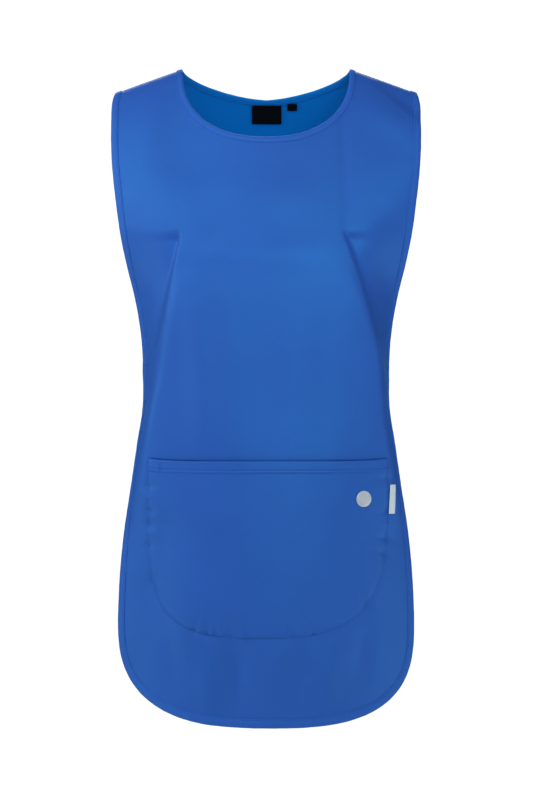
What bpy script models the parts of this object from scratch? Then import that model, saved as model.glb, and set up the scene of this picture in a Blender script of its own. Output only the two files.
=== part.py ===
"""Pull-over work tunic without sleeves, filled out as worn, hollow and open at neck, sides and hem.

A front and a back panel meet in two shoulder seams. Their outer edges are bound and stay open, apart from
a tab at each side of the waist. Metres, +Z up, the front faces -Y. The origin is midway between the two
neck points, on top of the shoulders.

Each panel is laid out in two steps. A table of level sections gives the form that the cloth hangs in, and
flatten() measures along it, so that points, bands and pockets are set out on the flat cloth as (across,
level) pairs. drape() then lifts those pairs onto the form.
"""

import math
from collections import namedtuple

import bmesh
import bpy
import numpy as np

# Cloth and bands
CLOTH = 0.001             # wall of a panel, of the pocket and of a tab
BAND_CLOTH = 0.001        # wall of a binding, on each side of the edge that it is folded round
LABEL_CLOTH = 0.0006
GAP = 0.0003              # between pieces that touch on the real garment
NOSE = 0.0015             # how far a binding's fold stands past the panel's edge
EDGE_BAND = 0.009         # width of the binding round sides and hems
NECK_BAND = 0.006         # width of the binding round the neck

# Shoulders and neck
NECK_HALF = 0.098         # from the middle to the neck point, where a shoulder seam starts
SHOULDER_FALL = 0.380     # drop for each metre outward, far from the neck
SHOULDER_EASE = 0.045     # how gently that fall sets in from the middle
ROUND_OVER = 5.0          # how sharply a shoulder's slope passes into the form below it

# Hem
HEM_START = -0.630        # level where the sides start to round into the hem

# Mesh density
SEAM_CELLS = 5
NECK_CELLS = 16
COLUMNS = 2 * SEAM_CELLS + NECK_CELLS
NECK_CROWDING = 0.6       # how far neck cells close up towards the shoulder seams, from 0 to 1
ROUND_ROWS = 5            # close rows where the cloth turns over the shoulder
ROUND_LENGTH = 0.032
ROWS = 38
GIRTH_STEPS = 60          # steps that a length round the form is added up in
LINE_POINTS = 300         # points of a straight run, before stations are picked along it
CURVE_POINTS = 181        # and of a quarter round
REACH = 1.12              # how far past the side edge the form is followed, in half widths
LEAN_LENGTH = 0.020       # run over which a band's inner edge leans onto the shoulder seam

# One level of a panel. depth is how far the cloth stands from the shoulder plane at the middle, bow how
# much less it stands at the side, and turn how much less again where it folds back past a ridge. The
# ridges are shares of the half width, left and right, and softness is how rounded they are.
Section = namedtuple("Section", "level half_width depth bow turn ridge_left ridge_right softness")
FRONT_SECTIONS = (
    Section(-0.0255, 0.1746, 0.128, 0.0810, 0.0000, 0.500, 0.500, 0.100),
    Section(-0.0340, 0.1768, 0.128, 0.0800, 0.0000, 0.500, 0.500, 0.100),
    Section(-0.0650, 0.1780, 0.128, 0.0760, 0.0000, 0.500, 0.500, 0.100),
    Section(-0.1100, 0.1764, 0.127, 0.0690, 0.0010, 0.520, 0.500, 0.160),
    Section(-0.1550, 0.1716, 0.127, 0.0520, 0.0150, 0.549, 0.523, 0.130),
    Section(-0.2000, 0.1651, 0.127, 0.0285, 0.0381, 0.590, 0.536, 0.080),
    Section(-0.2300, 0.1590, 0.126, 0.0250, 0.0520, 0.617, 0.577, 0.058),
    Section(-0.2600, 0.1518, 0.124, 0.0300, 0.0540, 0.681, 0.708, 0.026),
    Section(-0.2900, 0.1460, 0.121, 0.0280, 0.0530, 0.752, 0.812, 0.020),
    Section(-0.3250, 0.1418, 0.118, 0.0270, 0.0460, 0.831, 0.910, 0.024),
    Section(-0.3550, 0.1407, 0.116, 0.0275, 0.0400, 0.879, 0.955, 0.024),
    Section(-0.3900, 0.1410, 0.116, 0.0286, 0.0375, 0.948, 0.978, 0.020),
    Section(-0.4300, 0.1470, 0.118, 0.0335, 0.0320, 0.969, 0.984, 0.022),
    Section(-0.4800, 0.1542, 0.121, 0.0446, 0.0179, 0.985, 0.990, 0.026),
    Section(-0.5300, 0.1620, 0.123, 0.060, 0.008, 0.985, 0.990, 0.030),
    Section(-0.5800, 0.1668, 0.124, 0.064, 0.002, 0.985, 0.990, 0.030),
    Section(-0.6300, 0.1690, 0.124, 0.065, 0.000, 0.985, 0.990, 0.030),
    Section(-0.7600, 0.1690, 0.120, 0.065, 0.000, 0.985, 0.990, 0.030),
)
BACK_SECTIONS = (
    Section(-0.0255, 0.1746, 0.094, 0.046, 0.000, 0.500, 0.500, 0.100),
    Section(-0.0340, 0.1766, 0.094, 0.046, 0.000, 0.500, 0.500, 0.100),
    Section(-0.0650, 0.1776, 0.097, 0.048, 0.000, 0.500, 0.500, 0.100),
    Section(-0.1100, 0.1760, 0.100, 0.048, 0.004, 0.550, 0.550, 0.100),
    Section(-0.1550, 0.1712, 0.100, 0.044, 0.010, 0.580, 0.580, 0.100),
    Section(-0.2000, 0.1640, 0.097, 0.038, 0.018, 0.620, 0.620, 0.090),
    Section(-0.2600, 0.1500, 0.088, 0.030, 0.022, 0.680, 0.680, 0.080),
    Section(-0.3250, 0.1395, 0.080, 0.026, 0.020, 0.740, 0.740, 0.070),
    Section(-0.3550, 0.1385, 0.079, 0.026, 0.019, 0.780, 0.780, 0.070),
    Section(-0.3900, 0.1392, 0.082, 0.028, 0.017, 0.820, 0.820, 0.070),
    Section(-0.4300, 0.1450, 0.090, 0.034, 0.013, 0.860, 0.860, 0.070),
    Section(-0.4800, 0.1545, 0.101, 0.044, 0.008, 0.900, 0.900, 0.070),
    Section(-0.5300, 0.1640, 0.109, 0.051, 0.003, 0.900, 0.900, 0.070),
    Section(-0.5800, 0.1705, 0.112, 0.053, 0.000, 0.900, 0.900, 0.070),
    Section(-0.6300, 0.1735, 0.111, 0.053, 0.000, 0.900, 0.900, 0.070),
    Section(-0.7600, 0.1735, 0.106, 0.053, 0.000, 0.900, 0.900, 0.070),
)
BOW_POWER = 2.2
DART_START = 0.07         # share of a dart's length over which it sets in
DART_END = 0.45           # and over which it fades out
FOLD_FADE = 0.015         # drop below the shoulder seam over which folds set in

# The largest soft folds: a line on the front view, how wide the fold is and how high it stands (a trough
# is negative). Each fades out towards its ends.
Fold = namedtuple("Fold", "x_top z_top x_low z_low width height")
FRONT_FOLDS = (
    Fold(-0.084, -0.233, -0.068, -0.454, 0.0160, 0.0050),
    Fold(-0.052, -0.230, -0.045, -0.468, 0.0280, 0.0042),
    Fold(0.028, -0.270, 0.032, -0.455, 0.0130, 0.0010),
    Fold(0.061, -0.255, 0.065, -0.455, 0.0130, -0.0010),
    Fold(0.087, -0.030, 0.092, -0.228, 0.0070, -0.0014),
    Fold(0.105, -0.030, 0.180, -0.085, 0.0200, 0.0030),
    Fold(-0.034, -0.618, -0.038, -0.790, 0.0270, -0.0055),
    Fold(-0.057, -0.618, -0.049, -0.790, 0.0120, -0.0020),
    Fold(0.118, -0.560, 0.127, -0.720, 0.0122, 0.0008),
    Fold(-0.118, -0.500, -0.132, -0.680, 0.0200, -0.0032),
    Fold(-0.128, -0.217, 0.115, -0.217, 0.0200, 0.0031),
    Fold(-0.099, -0.150, 0.079, -0.150, 0.0260, 0.0022),
    Fold(-0.149, -0.120, -0.064, -0.200, 0.0340, 0.0045),
    Fold(-0.154, -0.187, -0.110, -0.268, 0.0110, -0.0022),
    Fold(0.155, -0.163, 0.122, -0.272, 0.0200, -0.0040),
    Fold(-0.119, -0.022, -0.151, -0.140, 0.0235, 0.0040),
)
BACK_FOLDS = (
    Fold(-0.070, -0.170, -0.058, -0.460, 0.016, -0.0034),
    Fold(0.078, -0.150, 0.066, -0.430, 0.015, -0.0030),
    Fold(0.006, -0.260, -0.004, -0.470, 0.018, 0.0026),
    Fold(-0.128, -0.080, -0.096, -0.250, 0.012, 0.0024),
    Fold(-0.050, -0.520, -0.064, -0.800, 0.017, -0.0036),
    Fold(0.052, -0.560, 0.060, -0.800, 0.015, -0.0030),
    Fold(0.108, -0.500, 0.120, -0.780, 0.014, 0.0026),
)

# Where the cloth turns in sharply beside the bust and over the right shoulder: a line on the front view
# with its bend, how far out from the line the cloth sinks most, and how much.
Dart = namedtuple("Dart", "x_top z_top x_low z_low bend width drop")
FRONT_DARTS = (
    Dart(-0.0949, -0.1967, -0.1300, -0.3520, 0.0000, 0.0080, 0.0050),
    Dart(0.0856, -0.1907, 0.1385, -0.3853, 0.0056, 0.0120, 0.0062),
    Dart(0.1180, -0.0140, 0.2150, -0.0980, 0.0000, 0.0120, 0.0030),
)

# A panel's side of the body, how steeply it leaves the shoulder line and how roundly, its neck's drop
# below the neck points and squareness, and its hem's lowest level and squareness at left and right.
Panel = namedtuple(
    "Panel", "facing sections folds darts steepness radius neck_drop neck_power hem_low hem_left hem_right"
)
FRONT = Panel(-1, FRONT_SECTIONS, FRONT_FOLDS, FRONT_DARTS, 0.43, 0.008, 0.0835, 2.3, -0.7480, 2.78, 3.10)
BACK = Panel(1, BACK_SECTIONS, BACK_FOLDS, (), 0.55, 0.018, 0.0308, 1.5, -0.7500, 3.30, 2.75)

# Patch pocket
POCKET_MIDDLE = 0.002     # its middle line, to the wearer's left of the garment's
POCKET_HALF = 0.1355
POCKET_TOP = -0.4506
POCKET_TOP_RISE = 0.0030  # how much higher the opening's ends are
POCKET_ROUND_START = -0.500
POCKET_LOW = -0.6480
POCKET_LEFT_POWER = 3.6
POCKET_RIGHT_POWER = 2.9
POCKET_STAND = 0.0009     # clear space under its sewn edge
POCKET_GAPE = 0.0024      # more space at the opening
POCKET_FULLNESS = 0.0012  # more space in the middle
POCKET_HEM = 0.014        # depth of the turned top hem
POCKET_HEM_RAISE = 0.0008
POCKET_COLUMNS = 16
POCKET_ROWS = 11

# Side tabs
TAB_TOP = -0.338
TAB_HEIGHT = 0.050
TAB_LAP = 0.020           # how far an end lies inside the panel's edge
TAB_BOW = 0.0006          # how far its middle is pushed out between the edges
TAB_PULL = 0.15           # how long it keeps its ends' direction, as a share of its span
TAB_ROWS = 3
TAB_LAP_CELLS = 3
TAB_SPAN_CELLS = 8

# Labels and badge
Patch = namedtuple("Patch", "x_left z_top width height columns rows")
NECK_LABEL = Patch(-0.0167, -0.0345, 0.0350, 0.0215, 5, 3)
SIZE_TAG = Patch(0.0252, -0.0328, 0.0115, 0.0080, 2, 2)
SIDE_TAG_GAP = 0.0018     # from the pocket's sewn edge
SIDE_TAG = Patch(POCKET_MIDDLE + POCKET_HALF + SIDE_TAG_GAP, -0.4775, 0.0085, 0.0330, 2, 4)
LABEL_STAND = 0.0018      # from the inside of the back panel
SIDE_TAG_STAND = 0.0008   # from the outside of the front panel
BADGE_X = 0.1085
BADGE_Z = -0.4926
BADGE_RADIUS = 0.0091
BADGE_THICKNESS = 0.0011
BADGE_RIM = 0.0013        # width of its raised rim
BADGE_RIM_DEPTH = 0.0003  # step down from the rim to the face
BADGE_EASE = 0.0002       # softening of its outer edges
BADGE_STAND = 0.0008
BADGE_SIDES = 36

BLUE = (0.025, 0.125, 0.475)
DEEP_BLUE = (0.022, 0.115, 0.440)
BLACK = (0.010, 0.010, 0.011)
WHITE = (0.800, 0.830, 0.840)
PALE_METAL = (0.620, 0.640, 0.650)


# ---- Form -------------------------------------------------------------------------------------------

def interpolate(sections, column, level):
    """A table's column at any level, on a smooth curve through its rows."""
    knots = np.array([row.level for row in sections])[::-1]
    values = np.array([getattr(row, column) for row in sections])[::-1]
    slopes = np.gradient(values, knots)
    level = np.clip(level, knots[0], knots[-1])
    k = np.clip(np.searchsorted(knots, level) - 1, 0, len(knots) - 2)
    step = knots[k + 1] - knots[k]
    t = (level - knots[k]) / step
    start = (2 * t**3 - 3 * t**2 + 1) * values[k] + (t**3 - 2 * t**2 + t) * step * slopes[k]
    end = (3 * t**2 - 2 * t**3) * values[k + 1] + (t**3 - t**2) * step * slopes[k + 1]
    return start + end


def softplus(t):
    return np.logaddexp(0.0, t)


def turn_share(u, ridge, softness):
    """0 at the middle and 1 at the side edge, rising only past the ridge."""
    low = softplus(-ridge / softness)
    high = softplus((1 - ridge) / softness)
    return (softplus((u - ridge) / softness) - low) / (high - low)


def form_depth(panel, x, z):
    """How far the worn form stands from the shoulder plane, without the shoulder's own slope."""
    def at(column):
        return interpolate(panel.sections, column, z)
    u = np.abs(x) / at("half_width")
    ridge = np.where(x < 0, at("ridge_left"), at("ridge_right"))
    fold_back = at("turn") * turn_share(u, ridge, at("softness"))
    return at("depth") - at("bow") * u**BOW_POWER - fold_back


def shoulder_level(x):
    """Level of the shoulder seam, which is the garment's ridge."""
    return SHOULDER_FALL * (math.hypot(NECK_HALF, SHOULDER_EASE) - np.hypot(x, SHOULDER_EASE))


def fold_height(folds, x, z):
    total = 0.0
    for fold in folds:
        run = np.array([fold.x_low - fold.x_top, fold.z_low - fold.z_top])
        length = np.hypot(*run)
        dx, dz = x - fold.x_top, z - fold.z_top
        t = np.clip((dx * run[0] + dz * run[1]) / length**2, 0, 1)
        off = (dx * run[1] - dz * run[0]) / length
        total = total + fold.height * np.sin(math.pi * t) * np.exp(-((off / fold.width) ** 2))
    return total


def smooth_step(t):
    t = np.clip(t, 0, 1)
    return t * t * (3 - 2 * t)


def dart_height(darts, x, z):
    total = 0.0
    for dart in darts:
        t = (dart.z_top - z) / (dart.z_top - dart.z_low)
        inside = np.clip(t, 0, 1)
        line = dart.x_top + (dart.x_low - dart.x_top) * inside + 4 * dart.bend * inside * (1 - inside)
        lean = math.hypot(1, (dart.x_low - dart.x_top) / (dart.z_top - dart.z_low))
        off = np.maximum(math.copysign(1, dart.x_top) * (x - line) / lean / dart.width, 0)
        fade = smooth_step(t / DART_START) * smooth_step((1 - t) / DART_END)
        total = total - dart.drop * fade * off * np.exp(1 - off)
    return total


def lift(panel, x, z):
    """The y of the panel's cloth at a point of the front view."""
    drop = np.maximum(shoulder_level(x) - z, 0.0)
    slope = np.sqrt((panel.steepness * drop) ** 2 + 2 * panel.radius * drop)
    form = form_depth(panel, x, z)
    depth = slope / (1 + (slope / form) ** ROUND_OVER) ** (1 / ROUND_OVER)
    fade_in = 1 - np.exp(-drop / FOLD_FADE)
    folds = fold_height(panel.folds, x, z) + dart_height(panel.darts, x, z)
    return panel.facing * (depth + fade_in * folds)


def section_arcs(panel, reach, z):
    """x and length along the form, from the middle line out to reach, for each level."""
    xs = reach[:, None] * np.linspace(0, 1, GIRTH_STEPS + 1)
    ys = form_depth(panel, xs, z[:, None])
    steps = np.hypot(np.diff(xs), np.diff(ys))
    return xs, np.concatenate([np.zeros((len(z), 1)), np.cumsum(steps, 1)], 1)


def flatten(panel, points):
    """(x, z) on the front view to (across, down) on the flat cloth, which is measured over the shoulder."""
    x, z = np.atleast_2d(points).T
    arcs = section_arcs(panel, x, z)[1]
    drop = np.maximum(shoulder_level(x) - z, 0.0)
    down = shoulder_level(x) - np.sqrt(drop**2 + 2 * panel.radius * drop)
    return np.column_stack([np.sign(x) * arcs[:, -1], down])


def drape(panel, cloth):
    """(across, down) on the flat cloth to points in space."""
    shape = cloth.shape[:-1]
    across, down = cloth.reshape(-1, 2).T
    side = np.where(across < 0, -1, 1)
    row = np.arange(len(down))
    z = down + panel.radius
    for _ in range(4):
        reach = side * REACH * interpolate(panel.sections, "half_width", z)
        xs, arcs = section_arcs(panel, reach, z)
        k = np.clip((arcs < np.abs(across)[:, None]).sum(1) - 1, 0, GIRTH_STEPS - 1)
        share = (np.abs(across) - arcs[row, k]) / (arcs[row, k + 1] - arcs[row, k])
        x = xs[row, k] + share * (xs[row, k + 1] - xs[row, k])
        over = np.maximum(shoulder_level(x) - down, 0.0)
        z = shoulder_level(x) + panel.radius - np.hypot(panel.radius, over)
    return np.column_stack([x, lift(panel, x, z), z]).reshape(shape + (3,))


def outward(panel, cloth):
    """Unit normals of the draped cloth, away from the wearer."""
    h = 0.0005
    right = drape(panel, cloth + (h, 0)) - drape(panel, cloth - (h, 0))
    up = drape(panel, cloth + (0, h)) - drape(panel, cloth - (0, h))
    normal = -panel.facing * np.cross(right, up)
    return normal / np.linalg.norm(normal, axis=-1, keepdims=True)


def stand_off(panel, cloth, distance):
    """Draped points moved out from the panel's mid surface."""
    return drape(panel, cloth) + outward(panel, cloth) * np.asarray(distance)[..., None]


# ---- Outlines on the flat cloth ---------------------------------------------------------------------

def resample(line, lengths):
    """Points of a polyline at given distances from its start."""
    steps = np.linalg.norm(np.diff(line, axis=0), axis=1)
    along = np.concatenate([[0], np.cumsum(steps)])
    return np.column_stack([np.interp(lengths, along, line[:, k]) for k in range(line.shape[1])])


def length_of(line):
    return np.linalg.norm(np.diff(line, axis=0), axis=1).sum()


def super_round(half, drop, power):
    """Quarter of a squared-off round, from (half, 0) down to (0, -drop)."""
    angle = np.linspace(0, math.pi / 2, CURVE_POINTS)
    return np.column_stack([half * np.cos(angle) ** (2 / power), -drop * np.sin(angle) ** (2 / power)])


def shoulder_tip(panel):
    """x where the shoulder seam meets the panel's side edge."""
    x = panel.sections[0].half_width
    for _ in range(20):
        x = interpolate(panel.sections, "half_width", shoulder_level(x)) - NOSE
    return float(x)


def side_outline(panel, side):
    """From the shoulder tip down one side and round to the hem's middle, and the length to the corner."""
    top = shoulder_level(shoulder_tip(panel))
    z = np.linspace(top, HEM_START, LINE_POINTS)
    straight = np.column_stack([interpolate(panel.sections, "half_width", z) - NOSE, z])
    half = straight[-1, 0]
    power = panel.hem_left if side < 0 else panel.hem_right
    corner = super_round(half, HEM_START - panel.hem_low, power) + (0, HEM_START)
    line = np.concatenate([straight, corner[1:]]) * (side, 1)
    line = flatten(panel, line)
    return line, length_of(line[:LINE_POINTS + CURVE_POINTS // 2])


def neck_outline(panel):
    """From the left neck point to the right one."""
    right = super_round(NECK_HALF, panel.neck_drop, panel.neck_power) + (0, shoulder_level(NECK_HALF))
    left = right * (-1, 1)
    return flatten(panel, np.concatenate([left, right[-2::-1]]))


def seam_stations(panel, side):
    """Points of the shoulder seam, from the inner edge of the side's band to that of the neck's."""
    x = np.linspace(shoulder_tip(panel), NECK_HALF, LINE_POINTS)
    line = np.column_stack([side * x, shoulder_level(x)])
    ends = EDGE_BAND, length_of(line) - NECK_BAND
    return flatten(panel, resample(line, np.linspace(*ends, SEAM_CELLS + 1)))


def side_stations(line, corner):
    """Points of a side outline down to its hem corner, closer together over the shoulder."""
    rounding = np.linspace(0, ROUND_LENGTH, ROUND_ROWS, endpoint=False)
    rest = np.linspace(ROUND_LENGTH, corner, ROWS - ROUND_ROWS + 1)
    return resample(line, np.concatenate([rounding, rest]))


def hem_stations(right, left):
    """Points of the hem from its right corner to its left one."""
    whole = np.concatenate([right[0], left[0][-2::-1]])
    return resample(whole, np.linspace(right[1], length_of(whole) - left[1], COLUMNS + 1))


def neck_stations(panel):
    line = neck_outline(panel)
    even = np.linspace(0, 1, NECK_CELLS + 1)
    shares = even + NECK_CROWDING * ((1 - np.cos(math.pi * even)) / 2 - even)
    return resample(line, length_of(line) * shares)


def inset(line, width, start, end):
    """The line moved in by a band's width, with its two ends brought to points on the shoulder seam."""
    tangent = np.gradient(line, axis=0)
    tangent /= np.linalg.norm(tangent, axis=1, keepdims=True)
    normal = np.column_stack([tangent[:, 1], -tangent[:, 0]])
    along = np.concatenate([[0], np.cumsum(np.linalg.norm(np.diff(line, axis=0), axis=1))])
    for away, point, near in ((along, line[0], start), (along[-1] - along, line[-1], end)):
        lean = (near - point) / np.linalg.norm(near - point)
        share = np.clip(1 - away / LEAN_LENGTH, 0, 1)[:, None] ** 2
        normal = normal * (1 - share) + lean * share
    normal /= np.linalg.norm(normal, axis=1, keepdims=True)
    return line + normal * width


def coons(top, bottom, left, right):
    """A grid of points between four edges. left and right run down, top and bottom run right."""
    v = np.concatenate([[0], np.cumsum(np.linalg.norm(np.diff(left, axis=0), axis=1))])
    v = (v / v[-1])[:, None, None]
    s = (top[:, 0] - top[0, 0]) / (top[-1, 0] - top[0, 0])
    s = ((s + (bottom[:, 0] - bottom[0, 0]) / (bottom[-1, 0] - bottom[0, 0])) / 2)[None, :, None]
    edges = (1 - v) * top[None] + v * bottom[None] + (1 - s) * left[:, None] + s * right[:, None]
    corners = (1 - v) * ((1 - s) * top[0] + s * top[-1]) + v * ((1 - s) * bottom[0] + s * bottom[-1])
    return edges - corners


# ---- Meshes -----------------------------------------------------------------------------------------

def cloth_material(name, colour, roughness=0.85, metallic=0.0):
    material = bpy.data.materials.get(name) or bpy.data.materials.new(name)
    material.use_nodes = True
    shader = material.node_tree.nodes["Principled BSDF"]
    shader.inputs["Base Color"].default_value = (*colour, 1.0)
    shader.inputs["Roughness"].default_value = roughness
    shader.inputs["Metallic"].default_value = metallic
    return material


def add_object(name, points, faces, material):
    """A closed mesh object, faces out."""
    mesh = bpy.data.meshes.new(name)
    mesh.from_pydata([tuple(p) for p in points], [], [tuple(int(k) for k in f) for f in faces])
    work = bmesh.new()
    work.from_mesh(mesh)
    bmesh.ops.recalc_face_normals(work, faces=work.faces)
    if work.calc_volume(signed=True) < 0:
        bmesh.ops.reverse_faces(work, faces=work.faces)
    work.to_mesh(mesh)
    work.free()
    mesh.shade_smooth()
    mesh.set_sharp_from_angle(angle=math.radians(50))
    mesh.materials.append(material)
    thing = bpy.data.objects.new(name, mesh)
    bpy.context.scene.collection.objects.link(thing)
    return thing


def grid_faces(ids, mirrored=False):
    """Triangles of a grid of point numbers, all cut along the same diagonal, or along the other one."""
    if mirrored:
        return grid_faces(ids[:, ::-1])[:, ::-1]
    a, b, c, d = ids[:-1, :-1].ravel(), ids[:-1, 1:].ravel(), ids[1:, 1:].ravel(), ids[1:, :-1].ravel()
    return np.concatenate([np.column_stack([a, b, c]), np.column_stack([a, c, d])])


def wall(name, inner, outer, faces, material):
    """A closed wall between two layers of points that share the same faces."""
    count = len(inner)
    edges = set()
    for face in faces:
        for a, b in zip(face, np.roll(face, -1)):
            edges.add((int(a), int(b)))
    rim = [(a, b) for a, b in edges if (b, a) not in edges]
    sides = [(b, a, a + count) for a, b in rim] + [(b, a + count, b + count) for a, b in rim]
    layers = [tuple(f) for f in faces] + [tuple(f[::-1] + count) for f in faces]
    return add_object(name, np.concatenate([inner, outer]), layers + sorted(sides), material)


def mesh_normals(points, faces, facing_point):
    """Area-weighted normals that point away from facing_point's side of the sheet."""
    corner = points[faces]
    face_normal = np.cross(corner[:, 1] - corner[:, 0], corner[:, 2] - corner[:, 0])
    normal = np.zeros_like(points)
    for k in range(3):
        np.add.at(normal, faces[:, k], face_normal)
    if (normal[:, 1] * facing_point).sum() < 0:
        normal = -normal
    return normal / np.linalg.norm(normal, axis=1, keepdims=True)


class Sheet:
    """A panel's cloth: points in space, triangles, normals, and the rungs that its bindings wrap."""

    def __init__(self, panel):
        right, left = side_outline(panel, 1), side_outline(panel, -1)
        hem = hem_stations(right, left)
        outer = np.concatenate([side_stations(*right), hem[1:-1], side_stations(*left)[::-1]])
        neck = neck_stations(panel)
        right_seam, left_seam = seam_stations(panel, 1), seam_stations(panel, -1)
        inner = inset(outer, EDGE_BAND, right_seam[0], left_seam[0])
        neck_inner = inset(neck, NECK_BAND, left_seam[-1], right_seam[-1])

        top = np.concatenate([left_seam[:-1], neck_inner, right_seam[-2::-1]])
        bottom = inner[ROWS:ROWS + COLUMNS + 1][::-1]
        grid = coons(top, bottom, inner[ROWS + COLUMNS:][::-1], inner[:ROWS + 1])
        ids = np.arange(grid.shape[0] * grid.shape[1]).reshape(grid.shape[:2])
        outer_ids = np.arange(len(outer)) + ids.size
        neck_ids = np.arange(len(neck)) + ids.size + len(outer)
        rim_ids = np.concatenate([ids[:, -1], ids[-1, -2::-1], ids[-2::-1, 0]])
        neck_rim_ids = ids[0, SEAM_CELLS:SEAM_CELLS + NECK_CELLS + 1]
        self.edge = np.array([outer_ids, rim_ids])
        self.neck = np.array([neck_ids, neck_rim_ids])
        middle = COLUMNS // 2
        self.faces = np.concatenate([
            grid_faces(ids[:, :middle + 1], mirrored=True),
            grid_faces(ids[:, middle:]),
            grid_faces(self.edge, mirrored=panel.facing > 0),
            grid_faces(self.neck, mirrored=panel.facing > 0),
        ])
        self.points = drape(panel, np.concatenate([grid.reshape(-1, 2), outer, neck]))
        self.normals = mesh_normals(self.points, self.faces, panel.facing)
        seam_ids = np.concatenate([
            ids[0, :SEAM_CELLS + 1], ids[0, -SEAM_CELLS - 1:], outer_ids[[0, -1]], neck_ids[[0, -1]]
        ])
        self.close_seam(seam_ids, panel.facing * GAP / 2)

    def close_seam(self, seam_ids, y):
        """Put the shoulder seams' points on the ridge, with normals square to it."""
        x = self.points[seam_ids, 0]
        self.points[seam_ids, 1] = y
        self.points[seam_ids, 2] = shoulder_level(x)
        fall = SHOULDER_FALL * x / np.hypot(x, SHOULDER_EASE)
        tilt = np.hypot(1, fall)
        self.normals[seam_ids] = np.column_stack([fall / tilt, 0 * tilt, 1 / tilt])

    def build(self, name, material):
        shift = self.normals * CLOTH / 2
        return wall(name, self.points - shift, self.points + shift, self.faces, material)

    def rungs(self, which):
        """Edge points, points a band's width in, and the normals at both."""
        edge_ids, rim_ids = which
        return np.stack([
            self.points[edge_ids], self.points[rim_ids], self.normals[edge_ids], self.normals[rim_ids]
        ])


def join_rungs(front, back):
    """Front and back rungs as one closed loop. back starts where front ends."""
    start = (front[:, 0] + back[:, -1]) / 2
    turn = (front[:, -1] + back[:, 0]) / 2
    return np.concatenate([start[:, None], front[:, 1:-1], turn[:, None], back[:, 1:-1]], axis=1)


def build_binding(name, rungs, material):
    """A strip folded round the panels' edge: two flanges and a rounded nose."""
    edge, rim, edge_normal, rim_normal = rungs
    out = edge - rim
    out /= np.linalg.norm(out, axis=1, keepdims=True)
    near = CLOTH / 2 + GAP
    far = near + BAND_CLOTH
    ring = np.stack([
        rim + rim_normal * near,
        edge + edge_normal * near + out * GAP,
        edge - edge_normal * near + out * GAP,
        rim - rim_normal * near,
        rim - rim_normal * far,
        edge - edge_normal * far + out * GAP,
        edge + out * NOSE,
        edge + edge_normal * far + out * GAP,
        rim + rim_normal * far,
    ])
    sides, stations = ring.shape[:2]
    ids = np.arange(sides * stations).reshape(sides, stations)
    ids = np.concatenate([ids, ids[:1]], axis=0)
    ids = np.concatenate([ids, ids[:, :1]], axis=1)
    faces = []
    for k in range(sides):
        flange_to_edge = k in (0, 4)
        faces.append(grid_faces(ids[[k, k + 1]], mirrored=flange_to_edge))
    return add_object(name, ring.reshape(-1, 3), np.concatenate(faces), material)


def pocket_grid():
    """The pocket on the flat cloth."""
    def half(side, power):
        low = super_round(POCKET_HALF, POCKET_ROUND_START - POCKET_LOW, power)
        z = np.linspace(POCKET_TOP + POCKET_TOP_RISE, POCKET_ROUND_START, LINE_POINTS)
        straight = np.column_stack([np.full(LINE_POINTS, POCKET_HALF), z])
        line = np.concatenate([straight, low[1:] + (0, POCKET_ROUND_START)])
        line = flatten(FRONT, line * (side, 1) + (POCKET_MIDDLE, 0))
        return line, length_of(line[:LINE_POINTS + CURVE_POINTS // 2])

    left, left_corner = half(-1, POCKET_LEFT_POWER)
    right, right_corner = half(1, POCKET_RIGHT_POWER)
    hem = POCKET_HEM / left_corner
    below = (POCKET_HEM + POCKET_HEM_RAISE) / left_corner
    rows = np.concatenate([[0, hem, below], np.linspace(hem, 1, POCKET_ROWS - 2)[1:]])
    x = np.linspace(-1, 1, POCKET_COLUMNS + 1)
    top_line = np.column_stack([POCKET_MIDDLE + x * POCKET_HALF, POCKET_TOP + POCKET_TOP_RISE * x**6])
    top = flatten(FRONT, top_line)
    whole = np.concatenate([left, right[-2::-1]])
    ends = left_corner, length_of(whole) - right_corner
    bottom = resample(whole, np.linspace(*ends, POCKET_COLUMNS + 1))
    grid = coons(top, bottom, resample(left, rows * left_corner), resample(right, rows * right_corner))
    return grid, rows


def build_pocket(material):
    grid, rows = pocket_grid()
    across = np.linspace(0, 1, POCKET_COLUMNS + 1)[None, :]
    down = rows[:, None]
    bulge = POCKET_GAPE * np.sqrt(np.sin(math.pi * across)) * (1 - down) ** 3
    bulge = bulge + POCKET_FULLNESS * np.sin(math.pi * across) * np.sin(math.pi * down)
    bulge[:, [0, -1]] = 0
    stand = CLOTH / 2 + POCKET_STAND + bulge
    thick = np.full(stand.shape, CLOTH)
    thick[:2] += POCKET_HEM_RAISE
    ids = np.arange(stand.size).reshape(stand.shape)
    inner = stand_off(FRONT, grid, stand).reshape(-1, 3)
    outer = stand_off(FRONT, grid, stand + thick).reshape(-1, 3)
    return wall("front_pocket", inner, outer, grid_faces(ids), material)


def build_patch(name, panel, patch, stand, material):
    """A small label on a panel, which stands off the panel's mid surface."""
    corner = flatten(panel, [[patch.x_left, patch.z_top]])[0]
    across = corner[0] + np.linspace(0, patch.width, patch.columns + 1)
    down = corner[1] - np.linspace(0, patch.height, patch.rows + 1)
    grid = np.stack(np.meshgrid(across, down), axis=-1)
    ids = np.arange(grid[..., 0].size).reshape(grid.shape[:2])
    near = np.full(grid.shape[:2], stand)
    far = near + math.copysign(LABEL_CLOTH, stand)
    inner = stand_off(panel, grid, near).reshape(-1, 3)
    outer = stand_off(panel, grid, far).reshape(-1, 3)
    return wall(name, inner, outer, grid_faces(ids), material)


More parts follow.
